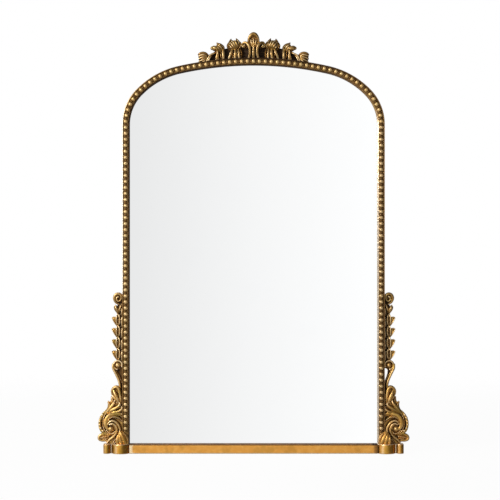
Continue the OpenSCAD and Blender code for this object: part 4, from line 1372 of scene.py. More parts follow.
# The curl at the scroll's outer foot.
CURL = (
    Strand(Cut.ROUND, ((34.8, 43.8, 2.8, 15), (44.4, 45.2, 3.2, 15.5), (52, 43.6, 3.4, 15.5),
        (56.7, 39, 3.2, 15.5), (56.5, 32.9, 3, 15), (49.7, 29.9, 2.8, 14.6), (41.5, 29.7, 2.6, 14.4),
        (34.8, 28.7, 2.4, 14))),
    Strand(Cut.RIDGE, ((33.9, 39.2, 2.2, 14.6), (41.5, 39, 3, 16), (47.9, 38, 2.8, 16.4),
        (52.3, 36.2, 2, 15.4))),
    Strand(Cut.RIDGE, ((33.9, 34.3, 2.2, 14), (40.3, 33.8, 2.4, 15), (46.7, 33.6, 2, 14.6))),
)

SCROLL_GROUND = ((0, 20), (0, 108), (14, 116), (33, 112), (43, 101), (51, 88), (54, 74), (52, 60), (46, 50),
                 (40, 44), (38, 20))
SPRAY_GROUND = ((0, 98), (0, 112), (5, 119), (12, 121), (18, 125), (25, 131), (31, 124), (33, 116), (35, 106),
                (40, 98), (20, 92))
CURL_GROUND = ((34, 50), (47, 46), (55, 42), (57.5, 36), (55.5, 31), (48, 29), (34, 28))
RIM_PEARLS = ((48.4, 92), (52.6, 84.6), (54.8, 76.4), (55, 68), (52.6, 60), (47.6, 53.6))

# The volute's stem, and the bud under it.
VOLUTE = (
    Strand(Cut.ROUND, ((23.4, 213, 2.4, 17.8), (22.4, 203.5, 2.8, 18.5), (18.4, 195.6, 3, 19),
        (13.1, 184.9, 3, 19), (9.3, 175.7, 2.9, 19), (6.8, 166, 2.7, 19.5), (5.6, 157, 2.2, 19.5))),
    Strand(Cut.RIDGE, ((16.4, 200, 1.4, 12.5), (10.6, 189, 1.8, 13.5), (5.4, 179, 1.8, 13.5),
        (2.2, 170, 1.6, 13.5))),
    Strand(Cut.ROUND, ((25, 142.6, 2.2, 19), (24.8, 150.5, 3, 21.8), (20.6, 157.2, 3.4, 23.8),
        (14.6, 159.4, 3.8, 24.8), (9.2, 155.4, 4, 25), (6.4, 146, 3.8, 24.8), (4.8, 136, 3.5, 23.8),
        (3.8, 126, 2.9, 21.8), (4, 117, 2, 18))),
    Strand(Cut.ROUND, ((20.8, 151.4, 2.8, 22.5), (17.4, 143.5, 3.9, 25.4), (13.4, 134.6, 4.1, 25.9),
        (10.2, 126.6, 3.5, 24.8), (8.2, 118, 2.2, 21))),
    Strand(Cut.ROUND, ((24.8, 141, 1.9, 18), (20, 134, 2.5, 20.5), (14.6, 127.6, 2.4, 21),
        (10.4, 121, 1.8, 19))),
)

STEM_GROUND = ((0, 216), (0, 112), (4, 116), (9, 121), (15, 129), (21, 136), (23.6, 145), (21, 154),
               (14, 158), (7, 160), (8, 166), (11, 176), (15.5, 190), (19, 200), (16, 204))
PIERCED_GROUND = ((0, 216), (0, 204), (5, 203), (8.5, 199), (8, 192), (5.6, 184), (3.4, 176), (1.6, 168),
                  (0, 164), *STEM_GROUND[1:])
BUD_GROUND = ((6, 124), (10, 122), (17, 130), (22, 140), (24, 148), (20, 156), (13, 158), (8, 152), (5, 140))

# One husk of the garland, up from its own foot.
HUSK = (
    Strand(Cut.ROUND, ((2.9, -3, 1, 13), (2.2, 4, 1.2, 15), (1.5, 12, 1.3, 15.4),
        (1.3, 19.4, 1, 14.2))),
    Strand(Cut.FACE, ((14.8, 0, 1.2, 12.2), (17.4, 6.4, 2.6, 13.6), (19.4, 12, 3.7, 14.2),
        (20.2, 15.6, 4.2, 14))),
    Strand(Cut.ROUND, ((16, 0.6, 0.9, 13), (20, 7, 1.2, 15), (23.6, 13.6, 1.2, 15.4),
        (25.4, 18.2, 0.9, 14.4))),
    Strand(Cut.ROUND, ((11.2, -3, 1.4, 12), (14, 4.6, 1.5, 16), (14.9, 12.4, 1.5, 17.4),
        (14, 20, 1.5, 17.2), (11.4, 26.8, 1.3, 15))),
    Strand(Cut.ROUND, ((11.2, -3, 1.5, 12), (7.6, 4.6, 2, 16), (6.6, 12.4, 2.2, 17.2),
        (7.6, 20, 1.9, 17), (11.2, 26.8, 1.3, 15))),
    Strand(Cut.RIDGE, ((10.9, 2, 1.4, 12.2), (10.9, 12, 1.8, 13.8), (11, 20, 1.3, 13.2))),
)

HUSK_GROUND = ((0, -6), (13.4, -6), (17, 3), (19, 12), (15, 20), (13.6, 24), (0, 24))
HUSK_BLADE = ((12.4, -3), (17, 3.6), (21, 10.6), (24.4, 18), (23.4, 20.6), (18, 20), (14, 18))

# The garland's last leaves and its curled bud, up from the top husk's head.
GARLAND_TOP = (
    Strand(Cut.ROUND, ((11.2, -1, 1.8, 12), (12.8, 8, 3, 16), (15.4, 14.6, 3.4, 17),
        (17.4, 19.6, 2.2, 15))),
    Strand(Cut.RIDGE, ((14.2, 4, 1.6, 12.5), (18, 10.6, 2, 14.5), (19.8, 16.4, 1.6, 13.5))),
    Strand(Cut.ROUND, ((9, 4, 1.8, 13), (6.8, 12, 2.8, 16), (4.4, 18.4, 2.8, 16),
        (2.6, 23, 1.6, 14))),
    Strand(Cut.ROUND, ((3.2, -3, 1.5, 12), (2.2, 5, 1.8, 14), (1.6, 12, 1.4, 13.5))),
    Strand(Cut.ROUND, ((9.6, 23.6, 2.2, 14), (16.2, 28.4, 3, 18), (19.6, 37.6, 3.4, 20.5),
        (16.4, 45.8, 3.6, 22), (9.4, 48.4, 3.6, 22.5), (3.8, 45, 3.2, 22), (2.8, 38.6, 2.7, 21),
        (5.2, 33, 2.5, 20), (9.8, 31, 2.5, 20), (13.4, 34.2, 2.4, 20.5), (13.2, 39.4, 2.2, 20.5),
        (9.8, 41.4, 1.9, 20))),
)

TOP_GROUND = ((0, -8), (12.6, -8), (15.4, 8), (15.6, 15), (12.4, 21), (12.4, 28), (6, 33), (0, 37))

# The leaf over the foot of the stile.
FOOT = (
    Strand(Cut.ROUND, ((5.4, 54, 2.4, 7.4), (1, 46, 4.2, 10.6), (-4, 36, 5.2, 11),
        (-7.8, 27, 5, 9.6), (-9, 23.2, 4.4, 8))),
    Strand(Cut.ROUND, ((6.4, 49, 2.4, 8), (5.2, 41, 4.4, 11.2), (2.8, 31, 5.2, 11),
        (1.4, 23.4, 4.8, 8.6))),
    Strand(Cut.ROUND, ((9.8, 44, 2, 8), (11, 36, 3.8, 10.2), (10.8, 28, 4, 9.4),
        (10.4, 23.2, 3.2, 7.6))),
    Strand(Cut.RIDGE, ((0.6, 53, 1.8, 6), (-6.4, 47, 2.6, 8), (-11.8, 39, 2.6, 7.8),
        (-14, 30, 1.8, 6.4), (-14.2, 23.4, 1.2, 5.2))),
)

# The crest's courses, across from the middle and up from the top of the arch.
# First what stands in the middle of the finial: its arched band, its middle finger and its stem.
FINIAL_MID = (
    Strand(Cut.ROUND, ((11.6, 32, 1.9, 13.5), (12.3, 40, 2.4, 16.8), (10.2, 48.6, 3.2, 19.4),
        (5.5, 54.6, 4.3, 20.6), (0, 56.9, 4.9, 20.6), (-5.5, 54.6, 4.3, 20.6),
        (-10.2, 48.6, 3.2, 19.4), (-12.3, 40, 2.4, 16.8), (-11.6, 32, 1.9, 13.5))),
    Strand(Cut.ROUND, ((0, 26, 2.2, 17.5), (0, 35, 2.2, 18.2), (0, 43, 1.9, 17.4),
        (0, 47, 1.3, 16))),
    Strand(Cut.FACE, ((0, 30.5, 2, 18.5), (0, 22, 2.5, 19), (0, 8, 3, 18), (0, -3, 2.8, 14))),
)

# The finial's right-hand finger, leaf, stem and curl; the left-hand ones are their mirror image.
FINIAL_SIDE = (
    Strand(Cut.ROUND, ((2.8, 27, 1.8, 16.6), (4.9, 34.6, 2, 17.4), (6.2, 41.6, 1.7, 16.6),
        (6.2, 45, 1.2, 15.2))),
    Strand(Cut.RIDGE, ((4.6, 26, 1.6, 14.6), (8.4, 32.4, 1.9, 15.2), (9.8, 38, 1.4, 14.4),
        (9.9, 41, 1, 13.6))),
    Strand(Cut.FACE, ((27, 32.5, 1.8, 11.4), (23.4, 36.8, 2.7, 14), (17.2, 36, 3, 17.5),
        (12.1, 30.6, 3.1, 19.5), (9.2, 22, 3, 19.5), (8.8, 11, 2.9, 17.5), (10.6, 2.4, 2.6, 15),
        (12, -4, 2.2, 13))),
    Strand(Cut.ROUND, ((27.6, 33.4, 2, 11.5), (26.6, 28, 2.5, 13), (21.6, 26.6, 2.2, 13),
        (18.6, 29.4, 1.5, 11.5))),
)

FINIAL_GROUND = ((0, 59), (-6, 57), (-11, 51), (-12.6, 43), (-11, 34), (-5, 26), (0, 22), (5, 26), (11, 34),
                 (12.6, 43), (11, 51), (6, 57))
KNOT_GROUND = ((9, 24), (10, 33), (15, 37), (23, 37.6), (29, 34), (28, 26), (20, 23))

# The right-hand flower: its petals, then the stems and leaves under it.
FLOWER = (
    Strand(Cut.RIDGE, ((38.6, 20, 2.4, 10.6), (33, 25.6, 3.6, 12.4), (30.8, 31.6, 3.2, 12.4),
        (31.6, 37.6, 1.6, 10.4))),
    Strand(Cut.RIDGE, ((56, 20, 2.4, 10.6), (60.4, 25, 3.4, 12.2), (61.8, 30.4, 2.8, 12),
        (60.6, 35.6, 1.6, 10.2))),
    Strand(Cut.RIDGE, ((41, 22, 2.6, 12), (35.8, 29.4, 3.8, 14.2), (36, 37.4, 3.8, 13.6),
        (39, 42.6, 2.8, 12), (41.2, 46.2, 1.4, 10.6))),
    Strand(Cut.RIDGE, ((54, 22, 2.6, 12), (57.4, 28.6, 3.6, 14), (57.2, 36.2, 3.6, 13.4),
        (55.2, 41.6, 2.8, 11.8), (54, 45.2, 1.4, 10.6))),
    Strand(Cut.ROUND, ((42.4, 22, 2.2, 14), (39.8, 29, 2.8, 18), (42, 36, 2.8, 18.4),
        (46.2, 41, 1.9, 15.5))),
    Strand(Cut.ROUND, ((44.8, 21, 2.2, 15), (44.4, 28.6, 2.6, 19.6), (47.6, 35.2, 2.6, 20),
        (52, 39.6, 1.8, 16))),
    Strand(Cut.ROUND, ((47.4, 21, 2.2, 15), (48.8, 27, 2.5, 19.6), (52.2, 32.6, 2.4, 19.2),
        (55.6, 36.2, 1.6, 15.5))),
    Strand(Cut.ROUND, ((50.4, 20.6, 2.2, 14), (53.6, 25.4, 2.4, 17.2), (57, 29.6, 1.7, 14.6))),
    Strand(Cut.FACE, ((50.4, 22, 2, 13), (53.4, 13, 2.8, 16), (57.2, 4, 2.7, 15.4),
        (60, -7, 2.2, 12.6))),
    Strand(Cut.FACE, ((43.6, 22, 2.2, 14), (43.6, 11, 3.2, 17.6), (44.6, 0, 3.2, 16.6),
        (45, -7, 2.6, 13))),
    Strand(Cut.FACE, ((36.4, 21, 2, 12), (35.4, 11, 2.8, 15.4), (34.8, 2, 2.7, 15),
        (34.4, -5, 2, 12.6))),
    Strand(Cut.RIDGE, ((50, 16, 1.6, 10.6), (50.4, 7, 2.2, 12), (51.4, -4, 1.8, 10.6))),
    Strand(Cut.RIDGE, ((31.2, 20.5, 1.6, 9.6), (29, 12, 3, 10.8), (29.6, 4, 2.8, 10.8),
        (31.4, -4, 1.6, 9.6))),
)

FLOWER_GROUND = ((34, 18), (30.6, 26), (31, 35), (36, 40), (41, 44), (46, 41), (50, 43), (55, 43), (58, 37),
                 (61.4, 32), (60, 24), (56, 18))
FLOWER_FOOT = ((30, 20), (29, 4), (32, -7), (60, -7), (56, 6), (54, 20))

# The right-hand bell: its leaves and mouth, then the stems under it and a trail to the right.
BELL = (
    Strand(Cut.RIDGE, ((71.4, 20.6, 2.4, 11), (73.4, 26, 3.8, 13.2), (79.2, 31, 4, 13.6),
        (85, 34.2, 2.4, 12), (88.2, 36.4, 1.2, 10.6))),
    Strand(Cut.ROUND, ((76.4, 19.6, 2.2, 14), (79, 25.2, 2.8, 17), (83.4, 29, 2.6, 17.2),
        (88, 31.2, 1.5, 14))),
    Strand(Cut.ROUND, ((82.4, 19.4, 2.4, 15.4), (87.4, 22, 4.4, 18.8), (93, 23.6, 5.6, 19.2),
        (97.4, 23.8, 5.5, 17.4), (99.4, 23.6, 4.4, 14.2))),
    Strand(Cut.ROUND, ((80.6, 18.6, 2, 15), (84.4, 23, 2.3, 18.8), (89, 27.2, 1.7, 17.6))),
    Strand(Cut.FACE, ((86, 18, 2.8, 15), (86.3, 13.4, 2.2, 16), (86.3, 8, 2.5, 16.6),
        (86.9, 1.6, 4, 16.8), (87.2, -4, 4.8, 15.4), (87.4, -10, 4.8, 13))),
    Strand(Cut.RIDGE, ((79.8, 18, 1.8, 10.6), (79.6, 8, 2.2, 12), (77.4, 0, 2, 11.8),
        (73.8, -6.4, 1.6, 10.6))),
    Strand(Cut.FACE, ((72.8, 22, 2, 12.6), (72.8, 12, 3, 16), (72.4, 3, 2.9, 15.6),
        (72, -6, 2, 12.6))),
    Strand(Cut.ROUND, ((90, 13.4, 1.8, 10.8), (97.5, 10.4, 2.2, 13), (104.4, 6.4, 2.2, 13.6),
        (109.6, -1.6, 2.1, 13.8), (113.4, -12, 1.7, 11.8))),
)

BELL_GROUND = ((71, 18), (72.6, 27), (79, 32.6), (86, 34.6), (91, 28.6), (99, 27.6), (102, 23.6), (98, 18.6),
               (90, 15.6), (84, 14))
BELL_FOOT = ((72, 20), (71.6, 4), (72, -5), (77, -1), (80, 8), (80.4, 20))

# The right-hand end fan.
FAN = (
    Strand(Cut.ROUND, ((110, 7.4, 2.4, 9.6), (115.4, 11.2, 3.2, 11), (121.6, 12.4, 3.4, 11.4),
        (128, 11.2, 3, 11), (132.2, 8.8, 1.8, 9.6))),
    Strand(Cut.ROUND, ((112.6, 5, 1.9, 12.6), (119.6, 7.4, 2.5, 14.6), (126, 6.6, 2.4, 14.2),
        (131.4, 4.6, 1.6, 12))),
    Strand(Cut.ROUND, ((113, 2.2, 2, 13.2), (121.4, 1.8, 2.6, 15), (131.4, -1.6, 1.8, 12.4))),
    Strand(Cut.ROUND, ((113.8, -0.8, 1.9, 12.8), (120.6, -3.6, 2.4, 14.2), (130.6, -8.2, 1.7, 12))),
    Strand(Cut.ROUND, ((114.6, -4.2, 1.8, 12.4), (119, -8, 2.1, 13.2), (125.6, -12.4, 1.6, 11.4))),
    Strand(Cut.RIDGE, ((118, 0, 2.4, 9.6), (126, -5.6, 3, 10.2), (131, -10.6, 2.2, 9.6))),
    Strand(Cut.ROUND, ((100.2, 5.6, 1.5, 10.6), (104.2, 1.6, 1.9, 12.8), (106.8, -4.4, 1.9, 13.2),
        (109.2, -13, 1.6, 11.6))),
)

FAN_GROUND = ((108, 6), (114, 11.6), (122, 14.2), (130, 12), (132.6, 8), (132.2, 0), (130.6, -7), (124, -12),
              (116, -14), (109, -13))


def disc(x: float, y: float, radius: float) -> list[Flat]:
    """Points round a circle, from its middle and radius."""
    turns = np.radians(np.arange(0, 360, 12))
    return list(zip(x + radius * np.cos(turns), y + radius * np.sin(turns)))


@dataclass(frozen=True)
class Carver:
    """Fuses strands into one carving, eases it, and finds its hollows and high edges.

    Attributes:
        voxel: Size of the fusing grid, in millimetres.
        keep: Share of the faces kept at the end.
        ease_passes: Passes that smooth the grid's steps away.
        near_passes: Passes that a crease or an arris is told by.
        far_passes: Further passes that a whole hollow or lobe is told by.
        ground: Height above its back under which a carving is darkened, by patina and painted shade.
        ground_fade: Depth over which that darkening comes in.
    """

    voxel: float = 0.55
    keep: float = 0.42
    ease_passes: int = 8
    near_passes: int = 14
    far_passes: int = 60
    ground: float = 12.6
    ground_fade: float = 3.6

    def fuse(self, shell: Shell, name: str) -> bpy.types.Mesh:
        """Fuses a shell.

        Args:
            shell: Overlapping closed strands.
            name: The mesh's name.

        Returns:
            One carved mesh in the flat drawing.
        """
        rough = bpy.data.objects.new(name, shell.mesh(name))
        bpy.context.scene.collection.objects.link(rough)
        remesh = rough.modifiers.new("fuse", "REMESH")
        remesh.mode = "VOXEL"
        remesh.voxel_size = self.voxel
        mesh = self._applied(rough)
        self._ease(mesh)
        solid = bpy.data.objects.new(name, mesh)
        bpy.context.scene.collection.objects.link(solid)
        thin = solid.modifiers.new("thin", "DECIMATE")
        thin.ratio = self.keep
        made = self._applied(solid)
        for spent in (rough, solid):
            data = spent.data
            bpy.data.objects.remove(spent)
            bpy.data.meshes.remove(data)
        return made

    @staticmethod
    def _applied(rough: bpy.types.Object) -> bpy.types.Mesh:
        """A new mesh of the object with its modifiers applied."""
        graph = bpy.context.evaluated_depsgraph_get()
        return bpy.data.meshes.new_from_object(rough.evaluated_get(graph), depsgraph=graph)

    def _ease(self, mesh: bpy.types.Mesh) -> None:
        """Smooths the grid's steps away and marks patina and painted shade in the hollows, abrasion and
        painted highlights on the high edges.

        Args:
            mesh: The fused mesh.
        """
        count = len(mesh.vertices)
        points = np.empty(count * 3, np.float32)
        mesh.vertices.foreach_get("co", points)
        points = points.reshape(-1, 3).astype(np.float64)
        pairs = np.empty(len(mesh.edges) * 2, np.int32)
        mesh.edges.foreach_get("vertices", pairs)
        a, b = pairs.reshape(-1, 2).T
        share = 1.0 / np.maximum(np.bincount(np.concatenate([a, b]), minlength=count), 1)

        def spread(values: np.ndarray, amount: float) -> np.ndarray:
            """Moves each value towards its neighbours' mean.

            Args:
                values: One column or more per point.
                amount: How far.

            Returns:
                The spread values.
            """
            mean = np.column_stack([
                (np.bincount(a, values[b, k], count) + np.bincount(b, values[a, k], count)) * share
                for k in range(values.shape[1])])
            return values + (mean - values) * amount

        for _ in range(self.ease_passes):
            points = spread(spread(points, 0.5), -0.51)
        mesh.vertices.foreach_set("co", points.astype(np.float32).ravel())
        mesh.update()
        normal = np.empty(count * 3, np.float32)
        mesh.vertex_normals.foreach_get("vector", normal)
        normal = normal.reshape(-1, 3)
        near = points
        for _ in range(self.near_passes):
            near = spread(near, 0.6)
        far = near
        for _ in range(self.far_passes):
            far = spread(far, 0.7)
        fine = ((points - near) * normal).sum(1) / self.voxel
        broad = ((points - far) * normal).sum(1) / self.voxel
        low = points[:, 2] - points[:, 2].min()
        deep = np.clip((self.ground - low) / self.ground_fade, 0, 1)
        # Patina and painted shade in creases, hollows and the low ground; abrasion and painted highlights on
        # ridges.
        hollow = np.clip(-fine * 1.5, 0, 1) * 0.45 + np.clip(-broad * 0.30, 0, 1) * 0.7 + deep * 0.7
        rub = np.clip(fine * 1.3, 0, 1) * 0.6 + np.clip(broad * 0.28, 0, 1) * 0.55 - deep
        marks = np.column_stack([hollow, rub])
        for _ in range(2):
            marks = spread(marks, 0.5)
        write_marks(mesh, marks[:, 0], marks[:, 1])


@dataclass
class SideCarving(FramePart):
    """One side's carving in four castings: garland, volute, scroll and foot leaf.

    Attributes:
        carver: What fuses the castings.
        back: Distance of the castings' backs from the wall.
        foot_back: Distance of the foot leaf's back, on the moulding.
        reach: How far from the frame's edge the castings reach.
        foot_reach: How far inwards the foot leaf may come.
        husk_z: Height of the lowest husk.
        husk_pitch: Distance between husks.
        husk_count: How many husks.
        husk_hang: How far the lowest husk hangs below its height.
        boss: Middle of the volute's boss, from the frame's edge.
        boss_r: Radius of the volute's ground.
    """

    carver: Carver = Carver()
    back: float = 10.0
    foot_back: float = 35.45
    reach: float = 61.9
    foot_reach: float = -60.0
    husk_z: float = 226.0
    husk_pitch: float = 27.2
    husk_count: int = 4
    husk_hang: float = 6.0
    boss: Flat = (11.2, 211.8)
    boss_r: float = 10.6

    def placed(self, shell: Shell, name: str, back: float, low: float, inner: float = 0.0,
               ground: float = Carver.ground) -> bpy.types.Mesh:
        """Trims a carving where it meets the frame, fuses it and moves it beside the frame.

        Args:
            shell: The strands, measured out from the frame's edge.
            name: The mesh's name.
            back: Distance from the wall to its back.
            low: Height that it starts from.
            inner: How near to the middle it may come, from the frame's edge.
            ground: Height above its back under which it is darkened, by patina and painted shade.

        Returns:
            The carving's mesh in the flat drawing.
        """
        for points in shell.points:
            points[:, 0] = np.clip(points[:, 0], inner, self.reach)
            points[:, 1] = np.maximum(points[:, 1], low)
        mesh = replace(self.carver, ground=ground).fuse(shell, name)
        mesh.transform(Matrix.Translation((self.arch.half + self.arch.width, 0.0, back)))
        return mesh

    def scroll(self) -> Shell:
        """The C-scroll: scalloped rim, swelling band, arms, boss and a spray of leaves.

        Returns:
            The strands.
        """
        shell = Shell()
        shell.slab(SCROLL_GROUND, 10)
        shell.slab(SPRAY_GROUND, 12)
        shell.slab(CURL_GROUND, 12)
        for strand in SCROLL + SPRAY + CURL:
            strand.carve(shell)
        for x, y in RIM_PEARLS:
            shell.ball(x, y, 3.2, 19.2)
        shell.ball(27.6, 58.6, 6.6, 26.0)
        return shell

    def volute(self, ground: Sequence[Flat]) -> Shell:
        """The round volute with its boss, its stem and the bud.

        Args:
            ground: Outline of the ground that carries the stem.

        Returns:
            The strands.
        """
        shell = Shell()
        x, y = self.boss
        ring_r = self.boss_r - 0.3
        ring = tuple((x + ring_r * math.cos(a), y + ring_r * math.sin(a), 2.2, 17.5)
                     for a in np.radians(np.linspace(-80, 200, 15)))
        shell.slab(ground, 9)
        shell.slab(BUD_GROUND, 15.5)
        shell.slab(disc(x, y, self.boss_r), 10)
        for strand in (Strand(Cut.ROUND, ring), *VOLUTE):
            strand.carve(shell)
        shell.ball(x - 0.2, y - 0.4, 6.9, 19.0)
        return shell

    def garland(self) -> Shell:
        """Husks up a stem, with the curled bud on top.

        Returns:
            The strands.
        """
        shell = Shell()
        top = self.husk_z + self.husk_count * self.husk_pitch
        for i in range(self.husk_count):
            low = self.husk_z + i * self.husk_pitch
            shell.slab([(x, y + low) for x, y in HUSK_GROUND], 9)
            shell.slab([(x, y + low) for x, y in HUSK_BLADE], 13)
            for strand in HUSK:
                strand.carve(shell, low)
        shell.slab([(x, y + top) for x, y in TOP_GROUND], 9)
        shell.slab(disc(10.0, top + 38.4, 10.0), 12)
        for strand in GARLAND_TOP:
            strand.carve(shell, top)
        return shell

    def foot(self) -> Shell:
        """The leaf over the foot of the stile.

        Returns:
            The strands.
        """
        shell = Shell()
        for strand in FOOT:
            strand.carve(shell)
        return shell

    def build(self) -> None:
        """Carves the four castings, each for both sides; the right stem's ground is pierced."""
        scroll = self.placed(self.scroll(), "scroll", self.back, self.rail_top, ground=10.4)
        both_sides("carved_scroll", scroll, CARVED_GILT_SHADED_RIGHT, CARVED_GILT, "scroll", Sharp.CARVED)
        garland = self.placed(self.garland(), "garland", self.back, self.husk_z - self.husk_hang)
        both_sides("carved_garland", garland, DARK_GILT, DARK_GILT, "garland", Sharp.CARVED)
        leaf = self.placed(self.foot(), "foot_leaf", self.foot_back, self.rail_top, self.foot_reach, 3.0)
        both_sides("carved_foot_leaf", leaf, FOOT_GILT, FOOT_GILT, "foot_leaf", Sharp.CARVED)
        for side, ground, finish in ((Side.RIGHT, PIERCED_GROUND, CARVED_GILT_SHADED_RIGHT),
                                     (Side.LEFT, STEM_GROUND, CARVED_GILT)):
            mesh = stand(self.placed(self.volute(ground), "volute", self.back, 0.0), side)
            piece(f"{side.word}_carved_volute", mesh, finish, Sharp.CARVED, f"{side.word}_volute")


@dataclass
class Crest(FramePart):
    """The crest: a dark plate that follows the arch, and the castings on it.

    Attributes:
        carver: What fuses the castings.
        half_width: Half the plate's width.
        height: Height of the plate over the frame.
        outline: Half its upper edge, in shares of both.
        corner_r: How far the outline's corners are eased.
        stain: The plate's hollow mark, which its finish does not read, so it is not used.
    """

    carver: Carver = Carver()
    half_width: float = 117.0
    height: float = 40.0
    outline: tuple[Flat, ...] = ((0, 1), (0.17, 1), (0.24, 0.9), (0.36, 0.78), (0.5, 0.62), (0.6, 0.59),
                                 (0.74, 0.54), (0.83, 0.36), (0.9, 0.27), (0.96, 0.14), (1, -0.12))
    corner_r: float = 2.5
    stain: float = 0.5

    @property
    def foot_r(self) -> float:
        """Radius of the frame's outer edge under the crest, about the crown arc's centre."""
        return self.arch.crown_r + self.arch.width

    def plate(self) -> bpy.types.Mesh:
        """The plate, with an eased edge.

        Returns:
            The plate's mesh in the flat drawing.
        """
        radius, middle = self.foot_r, self.arch.crown_c[1]
        half = [(x * self.half_width, self.arch.top + y * self.height, self.corner_r)
                for x, y in self.outline]
        reach = math.asin(self.half_width / radius)
        below = [(radius * math.sin(a), middle + radius * math.cos(a), 0.0)
                 for a in np.linspace(reach, -reach, 41)]
        section = Section([*below, *((-x, y, r) for x, y, r in half[::-1]), *half[1:]], step=1.2)
        section.hollow[:], section.rub[:] = self.stain, 0.0
        x, y = section.points.T
        clear = (np.hypot(x, y - middle) > radius + 0.5)[:, None]
        back, front = self.batten, self.panel
        levels = (Level(back, 0.5, 0.6), Level(back + 0.5, 0.0, 0.4), Level(front - 1.4, 0.0, 0.3),
                  Level(front - 0.4, 0.5, 0.8), Level(front, 1.4, 0.6))
        return section.pile(levels, (0, 1, 2), clear).mesh("plate")

    def cast(self, shell: Shell, name: str) -> bpy.types.Mesh:
        """Cuts a casting to the frame's curve and fuses it.

        Args:
            shell: Its strands, measured up from the top of the arch.
            name: The mesh's name.

        Returns:
            The casting's mesh in the flat drawing.
        """
        for points in shell.points:
            up = points[:, 1] + self.arch.top - self.arch.crown_c[1]
            size = np.hypot(points[:, 0], up)
            grow = np.maximum(size, self.foot_r) / size
            points[:, 0] *= grow
            points[:, 1] = up * grow + self.arch.crown_c[1] - self.arch.top
        mesh = self.carver.fuse(shell, name)
        mesh.transform(Matrix.Translation((0.0, self.arch.top, self.panel)))
        return mesh

    def finial(self) -> Shell:
        """The finial in the middle: an arched band over three fingers, on two curled stems.

        Returns:
            The strands.
        """
        shell = Shell()
        shell.slab(FINIAL_GROUND, 13.6)
        for sign in (1, -1):
            shell.slab([(sign * x, y) for x, y in KNOT_GROUND], 9)
        for strand in FINIAL_MID:
            strand.carve(shell)
        for strand in FINIAL_SIDE:
            strand.carve(shell)
            strand.mirrored().carve(shell)
        for sign in (1, -1):
            shell.ball(sign * 22.4, 29.6, 2.2, 16.5)
        return shell

    def build(self) -> None:
        """Builds the plate and the seven castings."""
        piece("dark_crest_plate", stand(self.plate()), GROUND, Sharp.RUN, "crest_plate")
        finial = stand(self.cast(self.finial(), "finial"))
        piece("carved_finial", finial, FINIAL_GILT, Sharp.CARVED, "crest_finial")
        for name, strands, grounds in (
                ("flower", FLOWER, ((FLOWER_GROUND, 9.0), (disc(47.0, 31.0, 8.0), 14.0), (FLOWER_FOOT, 6.0))),
                ("bell", BELL, ((BELL_GROUND, 11.0), (BELL_FOOT, 6.0))),
                ("fan", FAN, ((FAN_GROUND, 8.6),))):
            shell = Shell()
            for outline, height in grounds:
                shell.slab(outline, height)
            for strand in strands:
                strand.carve(shell)
            mesh = self.cast(shell, name)
            both_sides(f"carved_{name}", mesh, DARK_GILT, DARK_GILT, f"crest_{name}", Sharp.CARVED)


# ---------- what carries over from the CAD ----------

@dataclass
class Backing:
    """The glass and everything behind it, which keep their CAD shapes.

    Attributes:
        finishes: The nodes that carry over, under their finishes.
        weld: Distance that a batten's points are joined over, in metres.
        ease: Width of a batten's eased edges, in metres.
        edge_deg: Angle in degrees above which a batten's edge is eased.
    """

    finishes: tuple[tuple[Finish, tuple[str, ...]], ...] = (
        (SILVER, ("mirror_glass",)), (BOARD, ("back_panel",)), (RUBBER, ("setting_blocks",)),
        (PINE_UPRIGHT, ("left_batten", "right_batten", "crest_batten")),
        (PINE_ACROSS, ("top_batten", "bottom_batten")),
        (ZINC, ("left_strap", "right_strap", "left_ring", "right_ring", "panel_screws", "batten_screws",
                "strap_screws")))
    weld: float = 0.00001
    ease: float = 0.0006
    edge_deg: float = 50.0

    def build(self) -> None:
        """Dresses each node that carries over."""
        for finish, nodes in self.finishes:
            for node in nodes:
                self.dress(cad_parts[node], finish, isinstance(finish, PlanedPine))
                LOG.info("%s: dressed", node)

    def dress(self, part: bpy.types.Object, finish: Finish, eased: bool) -> None:
        """Gives a CAD node its finish.

        Args:
            part: The node's object.
            finish: The finish.
            eased: Whether its edges are eased.
        """
        part.data.materials.clear()
        part.data.materials.append(finish.material())
        if eased:
            weld = part.modifiers.new("weld", "WELD")
            weld.merge_threshold = self.weld
            bevel = part.modifiers.new("eased edges", "BEVEL")
            bevel.width = self.ease
            bevel.segments = 2
            bevel.limit_method = "ANGLE"
            bevel.angle_limit = math.radians(self.edge_deg)


# ---------- studio ----------

@dataclass(frozen=True)
class Lamp:
    """A soft square lamp that faces the mirror.

    Attributes:
        name: The lamp's name.
        place: Where it hangs, in metres.
        size: Length of its sides, in metres.
        power: Its power, in watts.
        colour: Its colour.
        mirrored: Whether metal and glass show it.
    """

    name: str
    place: tuple[float, float, float]
    size: float
    power: float
    colour: Colour
    mirrored: bool = True

    def hang(self, aim: Vector) -> None:
        """Hangs the lamp.

        Args:
            aim: The place that it faces.
        """
        data = bpy.data.lights.new(self.name, "AREA")
        data.size, data.energy, data.color = self.size, self.power, self.colour
        made = bpy.data.objects.new(self.name, data)
        made.location = self.place
        made.rotation_euler = (aim - made.location).to_track_quat("-Z", "Y").to_euler()
        made.visible_glossy = self.mirrored
        bpy.context.scene.collection.objects.link(made)


